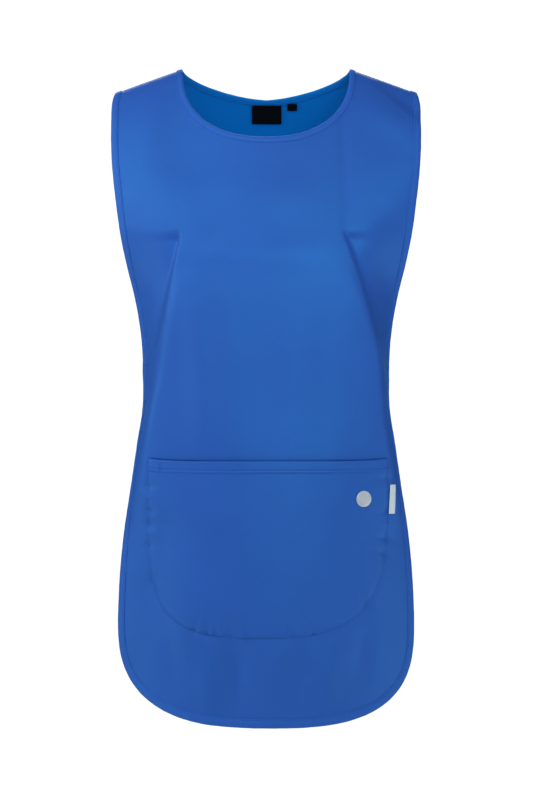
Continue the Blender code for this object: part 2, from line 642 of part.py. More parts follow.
def build_tab(name, side, material):
    """A strap inside both side edges at the waist, bowed out a little between them."""
    away = CLOTH / 2 + GAP + BAND_CLOTH + GAP + CLOTH / 2
    levels = np.linspace(TAB_TOP, TAB_TOP - TAB_HEIGHT, TAB_ROWS + 1)
    rows = []
    for level in levels:
        ends = []
        for panel in (FRONT, BACK):
            half = float(interpolate(panel.sections, "half_width", level)) - NOSE
            edge = flatten(panel, [[side * half, level]])[0]
            lap = edge - np.column_stack([side * np.linspace(TAB_LAP, 0, TAB_LAP_CELLS + 1),
                                          np.zeros(TAB_LAP_CELLS + 1)])
            ends.append(stand_off(panel, lap, np.full(TAB_LAP_CELLS + 1, -away)))
        front, back = ends
        leave = front[-1] - front[-2]
        arrive = back[-1] - back[-2]
        span = np.linalg.norm(back[-1] - front[-1])
        pull = span * TAB_PULL
        handles = [front[-1], front[-1] + leave / np.linalg.norm(leave) * pull,
                   back[-1] + arrive / np.linalg.norm(arrive) * pull, back[-1]]
        handles[1][0] += side * TAB_BOW
        handles[2][0] += side * TAB_BOW
        t = np.linspace(0, 1, TAB_SPAN_CELLS + 1)[1:-1, None]
        middle = ((1 - t)**3 * handles[0] + 3 * t * (1 - t)**2 * handles[1]
                  + 3 * t**2 * (1 - t) * handles[2] + t**3 * handles[3])
        rows.append(np.concatenate([front, middle, back[::-1]]))
    grid = np.array(rows)
    ids = np.arange(grid[..., 0].size).reshape(grid.shape[:2])
    points, faces = grid.reshape(-1, 3), grid_faces(ids)
    normal = mesh_normals(points, faces, 1)
    return wall(name, points - normal * CLOTH / 2, points + normal * CLOTH / 2, faces, material)


def build_badge(material):
    """A flat round badge with a raised rim."""
    spot = flatten(FRONT, [[BADGE_X, BADGE_Z]])
    normal = outward(FRONT, spot)[0]
    pocket_face = CLOTH / 2 + POCKET_STAND + POCKET_GAPE + CLOTH
    base = drape(FRONT, spot)[0] + normal * (pocket_face + BADGE_STAND)
    side = np.cross(normal, (0, 0, 1))
    side /= np.linalg.norm(side)
    up = np.cross(side, normal)
    Ring = namedtuple("Ring", "radius height")
    face_radius = BADGE_RADIUS - BADGE_RIM
    rings = (
        Ring(BADGE_RADIUS - BADGE_EASE, 0.0),
        Ring(BADGE_RADIUS, BADGE_EASE),
        Ring(BADGE_RADIUS, BADGE_THICKNESS - BADGE_EASE),
        Ring(BADGE_RADIUS - BADGE_EASE, BADGE_THICKNESS),
        Ring(face_radius, BADGE_THICKNESS),
        Ring(face_radius - BADGE_EASE, BADGE_THICKNESS - BADGE_RIM_DEPTH),
    )
    angle = np.linspace(0, 2 * math.pi, BADGE_SIDES, endpoint=False)[:, None]
    circle = np.cos(angle) * side + np.sin(angle) * up
    points = np.concatenate([base + circle * ring.radius + normal * ring.height for ring in rings])
    ids = np.arange(len(rings) * BADGE_SIDES).reshape(len(rings), BADGE_SIDES)
    faces = [tuple(f) for f in grid_faces(np.concatenate([ids, ids[:, :1]], axis=1))]
    faces += [tuple(ids[0]), tuple(ids[-1])]
    return add_object("round_badge", points, faces, material)


def clear_scene():
    for thing in list(bpy.data.objects):
        bpy.data.objects.remove(thing)


def main():
    clear_scene()
    front, back = Sheet(FRONT), Sheet(BACK)
    front.build("front_panel", cloth_material("front_blue", BLUE))
    back.build("back_panel", cloth_material("back_blue", DEEP_BLUE))
    edges = join_rungs(front.rungs(front.edge), back.rungs(back.edge)[:, ::-1])
    build_binding("edge_binding", edges, cloth_material("edge_binding_blue", BLUE))
    necks = join_rungs(front.rungs(front.neck), back.rungs(back.neck)[:, ::-1])
    build_binding("neck_binding", necks, cloth_material("neck_binding_blue", BLUE))
    build_pocket(cloth_material("pocket_blue", BLUE))
    build_tab("side_tab_left", -1, cloth_material("left_tab_blue", BLUE))
    build_tab("side_tab_right", 1, cloth_material("right_tab_blue", BLUE))
    inside = -(CLOTH / 2 + LABEL_STAND)
    build_patch("neck_label", BACK, NECK_LABEL, inside, cloth_material("label_black", BLACK, 0.6))
    build_patch("size_tag", BACK, SIZE_TAG, inside, cloth_material("size_tag_black", BLACK, 0.6))
    outside = CLOTH / 2 + SIDE_TAG_STAND
    build_patch("pocket_side_tag", FRONT, SIDE_TAG, outside, cloth_material("tag_white", WHITE, 0.7))
    build_badge(cloth_material("badge_metal", PALE_METAL, 0.35, 0.8))


main()
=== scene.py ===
"""Looks of the work tunic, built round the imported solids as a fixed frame. Metres, +Z up, front faces -Y.

The cloth pieces are fine thin shells on the solids' form. The tables and functions under Form repeat the
part's source, because this script can't read it: flatten() measures along the form that the cloth hangs
in, points are set out on the flat cloth as (across, down) pairs, and drape() lifts them onto the form.
The two long darts are sharper here than in the solids. Creases, puckers, stitches and weave are added.
"""

import math
from collections import namedtuple

import bmesh
import bpy
import numpy as np
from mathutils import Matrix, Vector
from mathutils.kdtree import KDTree


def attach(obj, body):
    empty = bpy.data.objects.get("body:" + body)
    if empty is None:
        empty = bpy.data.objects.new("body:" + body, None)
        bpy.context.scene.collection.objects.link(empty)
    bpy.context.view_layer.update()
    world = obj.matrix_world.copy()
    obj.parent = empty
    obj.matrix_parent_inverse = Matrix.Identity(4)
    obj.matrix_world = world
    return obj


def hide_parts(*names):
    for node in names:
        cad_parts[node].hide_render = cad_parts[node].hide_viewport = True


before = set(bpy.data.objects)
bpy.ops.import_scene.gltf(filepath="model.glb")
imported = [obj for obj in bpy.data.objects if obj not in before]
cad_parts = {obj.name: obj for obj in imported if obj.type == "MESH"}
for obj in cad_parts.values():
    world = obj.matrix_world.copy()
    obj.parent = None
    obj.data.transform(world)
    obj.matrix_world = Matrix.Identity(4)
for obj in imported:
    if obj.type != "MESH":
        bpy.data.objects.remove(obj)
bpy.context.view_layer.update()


def rows_of(kind, rows):
    return tuple(kind(*row) for row in rows)


# Cloth and bands
CLOTH = 0.001             # wall of a panel, of the pocket and of a tab
BAND_CLOTH = 0.001        # wall of a binding, on each side of the edge that it is folded round
LABEL_CLOTH = 0.0006
GAP = 0.0003              # between pieces that touch on the real garment
NOSE = 0.0015             # how far a binding's fold stands past the panel's edge
EDGE_BAND = 0.009         # width of the binding round sides and hems
NECK_BAND = 0.006         # width of the binding round the neck

# Shoulders and neck
NECK_HALF = 0.098         # from the middle to the neck point, where a shoulder seam starts
SHOULDER_FALL = 0.380     # drop for each metre outward, far from the neck
SHOULDER_EASE = 0.045     # how gently that fall sets in from the middle
ROUND_OVER = 5.0          # how sharply a shoulder's slope passes into the form below it

# Hem
HEM_START = -0.630        # level where the sides start to round into the hem

# Curves
LINE_POINTS = 400         # points of a straight run, before stations are picked along it
CURVE_POINTS = 241        # and of a quarter round
GIRTH_STEPS = 90          # steps that a length round the form is added up in
REACH = 1.12              # how far past the side edge the form is followed, in half widths
LEAN_LENGTH = 0.020       # run over which a band's inner edge leans onto the shoulder seam
PROBE = 0.0005            # step to either side when the cloth's direction is measured

# One level of a panel. depth is how far the cloth stands from the shoulder plane at the middle, bow how
# much less it stands at the side, and turn how much less again where it folds back past a ridge. The
# ridges are shares of the half width, left and right, and softness is how rounded they are.
Section = namedtuple("Section", "level half_width depth bow turn ridge_left ridge_right softness")
FRONT_SECTIONS = rows_of(Section, (
    (-0.0255, 0.1746, 0.128, 0.081, 0, 0.5, 0.5, 0.1),
    (-0.034, 0.1768, 0.128, 0.08, 0, 0.5, 0.5, 0.1),
    (-0.065, 0.178, 0.128, 0.076, 0, 0.5, 0.5, 0.1),
    (-0.11, 0.1764, 0.127, 0.069, 0.001, 0.52, 0.5, 0.16),
    (-0.155, 0.1716, 0.127, 0.052, 0.015, 0.549, 0.523, 0.13),
    (-0.2, 0.1651, 0.127, 0.0285, 0.0381, 0.59, 0.536, 0.08),
    (-0.23, 0.159, 0.126, 0.025, 0.052, 0.617, 0.577, 0.058),
    (-0.26, 0.1518, 0.124, 0.03, 0.054, 0.681, 0.708, 0.026),
    (-0.29, 0.146, 0.121, 0.028, 0.053, 0.752, 0.812, 0.02),
    (-0.325, 0.1418, 0.118, 0.027, 0.046, 0.831, 0.91, 0.024),
    (-0.355, 0.1407, 0.116, 0.0275, 0.04, 0.879, 0.955, 0.024),
    (-0.39, 0.141, 0.116, 0.0286, 0.0375, 0.948, 0.978, 0.02),
    (-0.43, 0.147, 0.118, 0.0335, 0.032, 0.969, 0.984, 0.022),
    (-0.48, 0.1542, 0.121, 0.0446, 0.0179, 0.985, 0.99, 0.026),
    (-0.53, 0.162, 0.123, 0.06, 0.008, 0.985, 0.99, 0.03),
    (-0.58, 0.1668, 0.124, 0.064, 0.002, 0.985, 0.99, 0.03),
    (-0.63, 0.169, 0.124, 0.065, 0, 0.985, 0.99, 0.03),
    (-0.76, 0.169, 0.12, 0.065, 0, 0.985, 0.99, 0.03),
))
BACK_SECTIONS = rows_of(Section, (
    (-0.0255, 0.1746, 0.094, 0.046, 0, 0.5, 0.5, 0.1),
    (-0.034, 0.1766, 0.094, 0.046, 0, 0.5, 0.5, 0.1),
    (-0.065, 0.1776, 0.097, 0.048, 0, 0.5, 0.5, 0.1),
    (-0.11, 0.176, 0.1, 0.048, 0.004, 0.55, 0.55, 0.1),
    (-0.155, 0.1712, 0.1, 0.044, 0.01, 0.58, 0.58, 0.1),
    (-0.2, 0.164, 0.097, 0.038, 0.018, 0.62, 0.62, 0.09),
    (-0.26, 0.15, 0.088, 0.03, 0.022, 0.68, 0.68, 0.08),
    (-0.325, 0.1395, 0.08, 0.026, 0.02, 0.74, 0.74, 0.07),
    (-0.355, 0.1385, 0.079, 0.026, 0.019, 0.78, 0.78, 0.07),
    (-0.39, 0.1392, 0.082, 0.028, 0.017, 0.82, 0.82, 0.07),
    (-0.43, 0.145, 0.09, 0.034, 0.013, 0.86, 0.86, 0.07),
    (-0.48, 0.1545, 0.101, 0.044, 0.008, 0.9, 0.9, 0.07),
    (-0.53, 0.164, 0.109, 0.051, 0.003, 0.9, 0.9, 0.07),
    (-0.58, 0.1705, 0.112, 0.053, 0, 0.9, 0.9, 0.07),
    (-0.63, 0.1735, 0.111, 0.053, 0, 0.9, 0.9, 0.07),
    (-0.76, 0.1735, 0.106, 0.053, 0, 0.9, 0.9, 0.07),
))
BOW_POWER = 2.2
FOLD_FADE = 0.015         # drop below the shoulder seam over which folds set in
DART_START = 0.045        # share of a dart's length over which it sets in
DART_END = 0.45           # and over which it fades out

# Soft folds: a line on the front view, how wide the fold is and how high it stands (a trough is negative).
# Each fades out towards its ends.
Fold = namedtuple("Fold", "x_top z_top x_low z_low width height")
FRONT_FOLDS = rows_of(Fold, (
    (-0.084, -0.233, -0.068, -0.454, 0.016, 0.005),
    (-0.052, -0.23, -0.045, -0.468, 0.028, 0.0042),
    (0.028, -0.27, 0.032, -0.455, 0.013, 0.001),
    (0.061, -0.255, 0.065, -0.455, 0.013, -0.001),
    (0.087, -0.03, 0.092, -0.228, 0.007, -0.0014),
    (0.105, -0.03, 0.18, -0.085, 0.02, 0.003),
    (-0.034, -0.618, -0.038, -0.79, 0.027, -0.0055),
    (-0.057, -0.618, -0.049, -0.79, 0.012, -0.002),
    (0.118, -0.56, 0.127, -0.72, 0.0122, 0.0008),
    (-0.118, -0.5, -0.132, -0.68, 0.02, -0.0032),
    (-0.128, -0.217, 0.115, -0.217, 0.02, 0.0031),
    (-0.099, -0.15, 0.079, -0.15, 0.026, 0.0022),
    (-0.149, -0.12, -0.064, -0.2, 0.034, 0.0045),
    (-0.154, -0.187, -0.11, -0.268, 0.011, -0.0022),
    (0.155, -0.163, 0.122, -0.272, 0.02, -0.004),
    (-0.119, -0.022, -0.151, -0.14, 0.0235, 0.004),
))
BACK_FOLDS = rows_of(Fold, (
    (-0.07, -0.17, -0.058, -0.46, 0.016, -0.0034),
    (0.078, -0.15, 0.066, -0.43, 0.015, -0.003),
    (0.006, -0.26, -0.004, -0.47, 0.018, 0.0026),
    (-0.128, -0.08, -0.096, -0.25, 0.012, 0.0024),
    (-0.05, -0.52, -0.064, -0.8, 0.017, -0.0036),
    (0.052, -0.56, 0.06, -0.8, 0.015, -0.003),
    (0.108, -0.5, 0.12, -0.78, 0.014, 0.0026),
))

# Where the cloth turns in sharply beside the bust and over the right shoulder: a line on the front view
# with its bend. Outward of it the cloth sinks over the run called wall, by up to drop, and comes back
# over the run called reach.
Dart = namedtuple("Dart", "x_top z_top x_low z_low bend wall reach drop")
FRONT_DARTS = rows_of(Dart, (
    (-0.0949, -0.193, -0.13, -0.352, 0, 0.0014, 0.02, 0.009),
    (0.0856, -0.1907, 0.1385, -0.3853, 0.0056, 0.0035, 0.018, 0.0115),
    (0.118, -0.014, 0.215, -0.098, 0, 0.01, 0.05, 0.008),
))

# A panel's side of the body, how steeply it leaves the shoulder line and how roundly, its neck's drop
# below the neck points and squareness, and its hem's lowest level and squareness at left and right.
Panel = namedtuple(
    "Panel", "facing sections folds darts steepness radius neck_drop neck_power hem_low hem_left hem_right"
)
FRONT = Panel(-1, FRONT_SECTIONS, FRONT_FOLDS, FRONT_DARTS, 0.43, 0.008, 0.0835, 2.3, -0.7480, 2.78, 3.10)
BACK = Panel(1, BACK_SECTIONS, BACK_FOLDS, (), 0.55, 0.018, 0.0308, 1.5, -0.7500, 3.30, 2.75)

# Patch pocket
POCKET_MIDDLE = 0.002     # its middle line, to the wearer's left of the garment's
POCKET_HALF = 0.1355
POCKET_TOP = -0.4506
POCKET_TOP_RISE = 0.0030  # how much higher the opening's ends are
POCKET_TOP_POWER = 6      # how squarely it rises to them
POCKET_ROUND_START = -0.500
POCKET_LOW = -0.6480
POCKET_LEFT_POWER = 3.6
POCKET_RIGHT_POWER = 2.9
POCKET_STAND = 0.0009     # clear space under its sewn edge
POCKET_GAPE = 0.0024      # more space at the opening
POCKET_FULLNESS = 0.0012  # more space in the middle
POCKET_HEM = 0.014        # depth of the turned top hem
POCKET_HEM_RAISE = 0.0008
POCKET_TURNED = 0.0072    # width of the edge that is turned in
POCKET_PULL = 0.85        # share of the clear space that the seam takes out
POCKET_PULL_RUN = 0.012
THIN_EDGE = 0.0002        # thickness where an edge is rounded off

# Side tabs
TAB_TOP = -0.338
TAB_HEIGHT = 0.050
TAB_LAP = 0.020           # how far an end lies inside the panel's edge
TAB_BOW = 0.0006          # how far its middle is pushed out between the edges
TAB_PULL = 0.15           # how long it keeps its ends' direction, as a share of its span

# Labels and badge
Patch = namedtuple("Patch", "x_left z_top width height")
NECK_LABEL = Patch(-0.0167, -0.0345, 0.0350, 0.0215)
SIZE_TAG = Patch(0.0252, -0.0328, 0.0115, 0.0080)
SIDE_TAG_GAP = 0.0018     # from the pocket's sewn edge
SIDE_TAG = Patch(POCKET_MIDDLE + POCKET_HALF + SIDE_TAG_GAP, -0.4775, 0.0085, 0.0330)
LABEL_STAND = 0.0018      # from the inside of the back panel
SIDE_TAG_STAND = 0.0008   # from the outside of the front panel
BADGE_X = 0.1085
BADGE_Z = -0.4926
BADGE_RADIUS = 0.0091
BADGE_THICKNESS = 0.0011
BADGE_RIM = 0.0013        # width of its raised rim
BADGE_RIM_DEPTH = 0.0003  # step down from the rim to the face
BADGE_STAND = 0.0002      # clear of the cloth
BADGE_DOME = 0.00016
BADGE_EASE = 0.0002       # softening of its outer edges

# Fine meshes
SEAM_CELLS = 20           # across one shoulder seam
NECK_CELLS = 80           # along one panel's neck
NECK_CROWDING = 0.6       # how much closer the neck's points are at its ends
COLUMNS = 2 * SEAM_CELLS + NECK_CELLS
PANEL_STEP = 0.0038       # length of a cell
FINE_STEP = 0.0011        # length of a cell near the shoulder and the pocket's mouth
SHOULDER_RUN = 0.022
MOUTH_RUN = 0.010
TOP_REACH = 0.42          # share of a panel's length over which its rows straighten out
HEM_REACH = 0.30
TREE_STEP = 0.0008        # spacing of the points that distances from a seam are measured to
BAND_STEP = 0.0028
POCKET_STEP = 0.0022
POCKET_FINE = 0.0007      # length of a cell near its edges, over the runs that follow
POCKET_RUN = 0.004
POCKET_LOW_RUN = 0.0035
POCKET_TOP_REACH = 0.30
POCKET_LOW_REACH = 0.75
TAB_FINE_ROWS = 50
TAB_FINE_LAP = 12
TAB_FINE_SPAN = 40
BADGE_FINE_SIDES = 96

# Sewing
SHOWN_BAND = 0.60         # share of a band's width at which the panel's edge lies inside it
RIPPLE = 0.0003           # height of the ripples beside a seam
RIPPLE_REACH = 0.008
BAND_PUFF = 0.12          # how unevenly a binding stands up, as a share
BAND_SWAY = 0.00015       # how far its fold sways
NEAR_EDGE = 0.9           # share across a binding that its outward direction is measured from
FOLD_HOLLOW = 0.0004      # from the panel's edge to the inside of the fold
SHOULDER_STITCH = 0.0026  # from the shoulder seam to the row of stitches beside it
SHOULDER_GROOVE = 0.0005
GROOVE_WIDTH = 0.0009
RIPPLE_NECK = 0.6         # the neck's ripples, as a share of the others
SEAM_PULL = 0.00035       # how far the pocket's seam pulls the panel in
SEAM_PULL_WIDTH = 0.0018
THREAD = 0.0002           # radius of a stitch
THREAD_SIDES = 4
STITCH_RISE = (-0.8, 0.55, 0.8, 0.55, -0.8)  # heights along a stitch, in radii of the thread
FOLD_CLOTH = 0.002        # cloth that goes round an edge in a binding's fold
TAB_RUN = 0.130           # length of a side tab, along its curve
TAB_HALF = 0.0007         # half the thickness of a doubled tab
TAB_DIP = 0.0002          # how far its stitches press it in
TAB_SOFT = 0.0005         # how uneven it is
MOUTH_HOLLOW = 0.0013     # hollow in the front panel behind the pocket's mouth
MOUTH_WIDTH = 0.0007
MOUTH_DROP = 0.0004
MOUTH_END = 0.05          # share of the mouth's half over which the hollow fades out
POCKET_STITCH_ROWS = (0.0103, 0.0135)
POCKET_EDGE_STITCH = 0.0021
HEM_STITCH_DIP = 0.00045
EDGE_STITCH_DIP = 0.00022
TAB_STITCH = 0.0030
TACKS = ((-1, 0.0145), (1, 0.0040))  # bar tacks: side of the pocket's mouth, how far in from its end
TACK_STITCHES = 5
TACK_STEP = 0.0006
TACK_LEVELS = (0.002, 0.0125)        # from the mouth down to a tack's ends

# Small puckers that the pocket's seam draws in, at places on the front view. A dip is negative.
Pucker = namedtuple("Pucker", "x z height width")
PUCKERS = rows_of(Pucker, (
    (-0.133, -0.479, -0.0027, 0.0035),
    (-0.133, -0.492, 0.0015, 0.004),
    (-0.132, -0.506, -0.0024, 0.003),
    (-0.131, -0.5215, -0.00285, 0.0038),
    (-0.13, -0.533, 0.0015, 0.004),
    (-0.128, -0.546, -0.0021, 0.003),
    (-0.12, -0.585, -0.0018, 0.004),
    (-0.078, -0.635, -0.00225, 0.0028),
    (-0.066, -0.64, -0.0027, 0.0026),
    (-0.056, -0.643, -0.00225, 0.0024),
    (-0.04, -0.646, -0.00315, 0.004),
    (-0.026, -0.647, 0.0015, 0.003),
    (0.028, -0.648, -0.0018, 0.0026),
    (0.052, -0.645, -0.0018, 0.003),
    (0.082, -0.635, 0.00135, 0.004),
    (0.11, -0.61, -0.0021, 0.0036),
    (0.133, -0.555, -0.0021, 0.003),
    (0.136, -0.538, -0.0024, 0.003),
    (0.137, -0.523, 0.00135, 0.0036),
    (0.137, -0.508, -0.00225, 0.0034),
    (0.137, -0.47, -0.0018, 0.0034),
))
PUCKER_REACH = 0.009      # how far they run into the pocket, and into the panel beside it
PUCKER_FADE = 0.005

# Soft folds in the front panel under the pocket
HEM_CREASES = rows_of(Fold, (
    (-0.061, -0.647, -0.064, -0.742, 0.012, 0.0034),
    (-0.033, -0.65, -0.037, -0.744, 0.012, -0.0038),
    (0.004, -0.651, 0.008, -0.742, 0.011, 0.0018),
    (0.04, -0.649, 0.033, -0.742, 0.01, -0.0021),
    (0.08, -0.642, 0.066, -0.734, 0.012, 0.0022),
    (-0.118, -0.615, -0.1, -0.708, 0.011, -0.0018),
    (0.116, -0.625, 0.102, -0.708, 0.011, -0.0019),
))

# Soft creases in the pocket, over the panel's own
POCKET_CREASES = rows_of(Fold, (
    (-0.12, -0.48, -0.124, -0.56, 0.006, 0.0007),
    (0.1, -0.52, 0.112, -0.6, 0.007, 0.0006),
))
CREASE_FADE = 0.008       # run from the pocket's edge over which they set in

# A binding's cross section on one side: share of the way from its inner edge to the panel's edge, height
# over the panel's mid surface, and how far out past that share
Profile = namedtuple("Profile", "share height out")
FLANGE = rows_of(Profile, (
    (0, 0.00055, 0), (0, 0.001, 0), (0.05, 0.00128, 0), (0.13, 0.00132, 0), (0.19, 0.00112, 0),
    (0.26, 0.00134, 0), (0.5, 0.0015, 0), (0.8, 0.00144, 0), (1, 0.00122, 0), (1, 0.00085, 0.0008),
))
INSIDE = rows_of(Profile, ((0.5, 0.00055, 0), (1, 0.00055, 0)))
STITCH_SHARE = 0.19
STITCH_HEIGHT = 0.00122

# Colours are linear. The blue is plain royal blue cloth.
BLUE = (0.0290, 0.1025, 0.485)
BLUE_GLOSS = (0.03, 0.55, 1.0)
# Painted light: the inner faces of the back and of the neck binding get this brighter, more cyan copy of
# the blue, standing for light that comes through the cloth and bounces inside it.
INSIDE_PAINTED_LIGHT_BLUE = (0.001, 0.150, 0.560)  # the same cloth inside, where light comes through it
LABEL_BLACK = (0.003, 0.003, 0.004)
TAG_WHITE = (0.66, 0.80, 0.88)
BADGE_METAL = (0.60, 0.68, 0.76)
FLOOR_WHITE = (0.95, 0.95, 0.95)
MOTTLE = 0.06             # how much the cloth's colour varies, as a share
WEAVE_DEPTH = 0.00003
WRINKLE_DEPTH = 0.0011

# Room. Lamps have no colour of their own, and a power in watts.
SEEN_STRENGTH = 1.05      # of the white behind the tunic
FILL_STRENGTH = 0.003     # of the white light from all sides
LAMP_TARGET = (0.0, 0.0, -0.38)
Lamp = namedtuple("Lamp", "name place size power")
LAMPS = rows_of(Lamp, (
    ("key", (-0.66, -0.94, 0.58), (0.7, 0.7), 5.5),
    ("front", (0.355, -1.324, 0.23), (0.7, 0.7), 4.5),
    ("low_front", (0.35, -1.60, -0.20), (0.8, 0.8), 2.9),
    ("right", (0.85, -1.45, 0.60), (0.8, 0.8), 6.5),
    ("left", (-2.28, -0.61, 0.72), (1.3, 1.3), 25.5),
    ("low_left", (-2.40, -0.64, -1.02), (1.2, 0.7), 4.9),
    ("low_right", (2.40, -0.64, -1.02), (1.2, 0.7), 9.2),
    ("back", (0.0, 2.2, 0.9), (2.4, 2.4), 66.0),
))
CAMERA_LENS = 136.0
CAMERA_PLACE = (0.0005, -3.5, -0.3819)
FLOOR_LEVEL = -1.38
FLOOR_RADIUS = 3.0


# ---- Numbers, lines and curves ----

def softplus(t):
    return np.logaddexp(0.0, t)


def smooth_step(t):
    t = np.clip(t, 0, 1)
    return t * t * (3 - 2 * t)


def bell(off, width):
    return np.exp(-((off / width) ** 2))


def unit(vectors):
    return vectors / np.maximum(np.linalg.norm(vectors, axis=-1, keepdims=True), 1e-12)


def places_along(line):
    """How far along a line each of its points is."""
    return np.concatenate([[0], np.cumsum(np.linalg.norm(np.diff(line, axis=0), axis=1))])


def length_of(line):
    return places_along(line)[-1]


def columns_at(values, along, places):
    """Rows of values, given at places along, read at other places."""
    return np.column_stack([np.interp(places, along, column) for column in values.T])


def resample(line, lengths):
    """Points of a line at given distances from its start."""
    return columns_at(line, places_along(line), lengths)


def flat_tree(spots):
    """A search tree of flat points."""
    tree = KDTree(len(spots))
    for k, (x, y) in enumerate(spots):
        tree.insert((x, y, 0), k)
    tree.balance()
    return tree


def nearest_on(line, points):
    """Distance from each flat point to a line, and how far along the line its nearest point is."""
    places = np.arange(0, length_of(line), TREE_STEP)
    tree = flat_tree(resample(line, places))
    found = [tree.find((x, y, 0)) for x, y in points.reshape(-1, 2)]
    distance = np.array([f[2] for f in found]).reshape(points.shape[:-1])
    return distance, places[[f[1] for f in found]].reshape(points.shape[:-1])


def wander(place, seed):
    """An uneven wave along a seam, from -1 to 1."""
    periods = (0.0083, 0.0127, 0.0191, 0.0337)
    wave = sum(np.sin(2 * math.pi * place / p + seed * (k + 1.7)) for k, p in enumerate(periods))
    return wave / len(periods)


# ---- Form ----

def interpolate(sections, column, level):
    """A table's column at any level, on a smooth curve through its rows."""
    knots = np.array([row.level for row in sections])[::-1]
    values = np.array([getattr(row, column) for row in sections])[::-1]
    slopes = np.gradient(values, knots)
    level = np.clip(level, knots[0], knots[-1])
    k = np.clip(np.searchsorted(knots, level) - 1, 0, len(knots) - 2)
    step = knots[k + 1] - knots[k]
    t = (level - knots[k]) / step
    start = (2 * t**3 - 3 * t**2 + 1) * values[k] + (t**3 - 2 * t**2 + t) * step * slopes[k]
    end = (3 * t**2 - 2 * t**3) * values[k + 1] + (t**3 - t**2) * step * slopes[k + 1]
    return start + end


def turn_share(u, ridge, softness):
    """0 at the middle and 1 at the side edge, rising only past the ridge."""
    low, high, here = (softplus((t - ridge) / softness) for t in (0, 1, u))
    return (here - low) / (high - low)


def form_depth(panel, x, z):
    """How far the worn form stands from the shoulder plane, without the shoulder's own slope."""
    def at(column):
        return interpolate(panel.sections, column, z)
    u = np.abs(x) / at("half_width")
    ridge = np.where(x < 0, at("ridge_left"), at("ridge_right"))
    fold_back = at("turn") * turn_share(u, ridge, at("softness"))
    return at("depth") - at("bow") * u**BOW_POWER - fold_back


def shoulder_level(x):
    """Level of the shoulder seam, which is the garment's ridge."""
    return SHOULDER_FALL * (math.hypot(NECK_HALF, SHOULDER_EASE) - np.hypot(x, SHOULDER_EASE))


def fold_height(folds, x, z):
    total = 0.0
    for fold in folds:
        run = np.array([fold.x_low - fold.x_top, fold.z_low - fold.z_top])
        length = np.hypot(*run)
        dx, dz = x - fold.x_top, z - fold.z_top
        t = np.clip((dx * run[0] + dz * run[1]) / length**2, 0, 1)
        off = (dx * run[1] - dz * run[0]) / length
        total = total + fold.height * np.sin(math.pi * t) * bell(off, fold.width)
    return total


def dart_height(darts, x, z):
    total = 0.0
    for dart in darts:
        t = (dart.z_top - z) / (dart.z_top - dart.z_low)
        inside = np.clip(t, 0, 1)
        line = dart.x_top + (dart.x_low - dart.x_top) * inside + 4 * dart.bend * inside * (1 - inside)
        lean = math.hypot(1, (dart.x_low - dart.x_top) / (dart.z_top - dart.z_low))
        off = np.maximum(math.copysign(1, dart.x_top) * (x - line) / lean, 0)
        fade = smooth_step(t / DART_START) * smooth_step((1 - t) / DART_END)
        total = total - dart.drop * fade * (1 - np.exp(-off / dart.wall)) * np.exp(-off / dart.reach)
    return total


def lift(panel, x, z):
    """The y of the panel's cloth at a point of the front view."""
    drop = np.maximum(shoulder_level(x) - z, 0.0)
    slope = np.sqrt((panel.steepness * drop) ** 2 + 2 * panel.radius * drop)
    form = form_depth(panel, x, z)
    depth = slope / (1 + (slope / form) ** ROUND_OVER) ** (1 / ROUND_OVER)
    fade_in = 1 - np.exp(-drop / FOLD_FADE)
    folds = fold_height(panel.folds, x, z) + dart_height(panel.darts, x, z)
    return panel.facing * (depth + fade_in * folds)


def section_arcs(panel, reach, z):
    """x and length along the form, from the middle line out to reach, for each level."""
    xs = reach[:, None] * np.linspace(0, 1, GIRTH_STEPS + 1)
    ys = form_depth(panel, xs, z[:, None])
    steps = np.hypot(np.diff(xs), np.diff(ys))
    return xs, np.concatenate([np.zeros((len(z), 1)), np.cumsum(steps, 1)], 1)


def flatten(panel, points):
    """(x, z) on the front view to (across, down) on the flat cloth, which is measured over the shoulder."""
    x, z = np.atleast_2d(points).T
    arcs = section_arcs(panel, x, z)[1]
    drop = np.maximum(shoulder_level(x) - z, 0.0)
    down = shoulder_level(x) - np.sqrt(drop**2 + 2 * panel.radius * drop)
    return np.column_stack([np.sign(x) * arcs[:, -1], down])


def drape(panel, cloth):
    """(across, down) on the flat cloth to points in space."""
    across, down = cloth.reshape(-1, 2).T
    side = np.where(across < 0, -1, 1)
    row = np.arange(len(down))
    z = down + panel.radius
    for _ in range(4):
        reach = side * REACH * interpolate(panel.sections, "half_width", z)
        xs, arcs = section_arcs(panel, reach, z)
        k = np.clip((arcs < np.abs(across)[:, None]).sum(1) - 1, 0, GIRTH_STEPS - 1)
        share = (np.abs(across) - arcs[row, k]) / (arcs[row, k + 1] - arcs[row, k])
        x = xs[row, k] + share * (xs[row, k + 1] - xs[row, k])
        over = np.maximum(shoulder_level(x) - down, 0.0)
        z = shoulder_level(x) + panel.radius - np.hypot(panel.radius, over)
    return np.column_stack([x, lift(panel, x, z), z]).reshape(cloth.shape[:-1] + (3,))


def outward(panel, cloth):
    """Unit normals of the draped cloth, away from the wearer."""
    steps = (PROBE, 0), (0, PROBE)
    right, up = (drape(panel, cloth + step) - drape(panel, cloth - step) for step in steps)
    return unit(-panel.facing * np.cross(right, up))


def stand_off(panel, cloth, distance):
    """Draped points moved out from the panel's mid surface."""
    return drape(panel, cloth) + outward(panel, cloth) * np.asarray(distance)[..., None]


# ---- Outlines on the flat cloth ----

def super_round(half, drop, power):
    """Quarter of a squared-off round, from (half, 0) down to (0, -drop)."""
    angle = np.linspace(0, math.pi / 2, CURVE_POINTS)
    return np.column_stack([half * np.cos(angle) ** (2 / power), -drop * np.sin(angle) ** (2 / power)])


def shoulder_tip(panel):
    """x where the shoulder seam meets the panel's side edge."""
    x = panel.sections[0].half_width
    for _ in range(20):
        x = interpolate(panel.sections, "half_width", shoulder_level(x)) - NOSE
    return float(x)


def tip_level(panel):
    return float(shoulder_level(shoulder_tip(panel)))


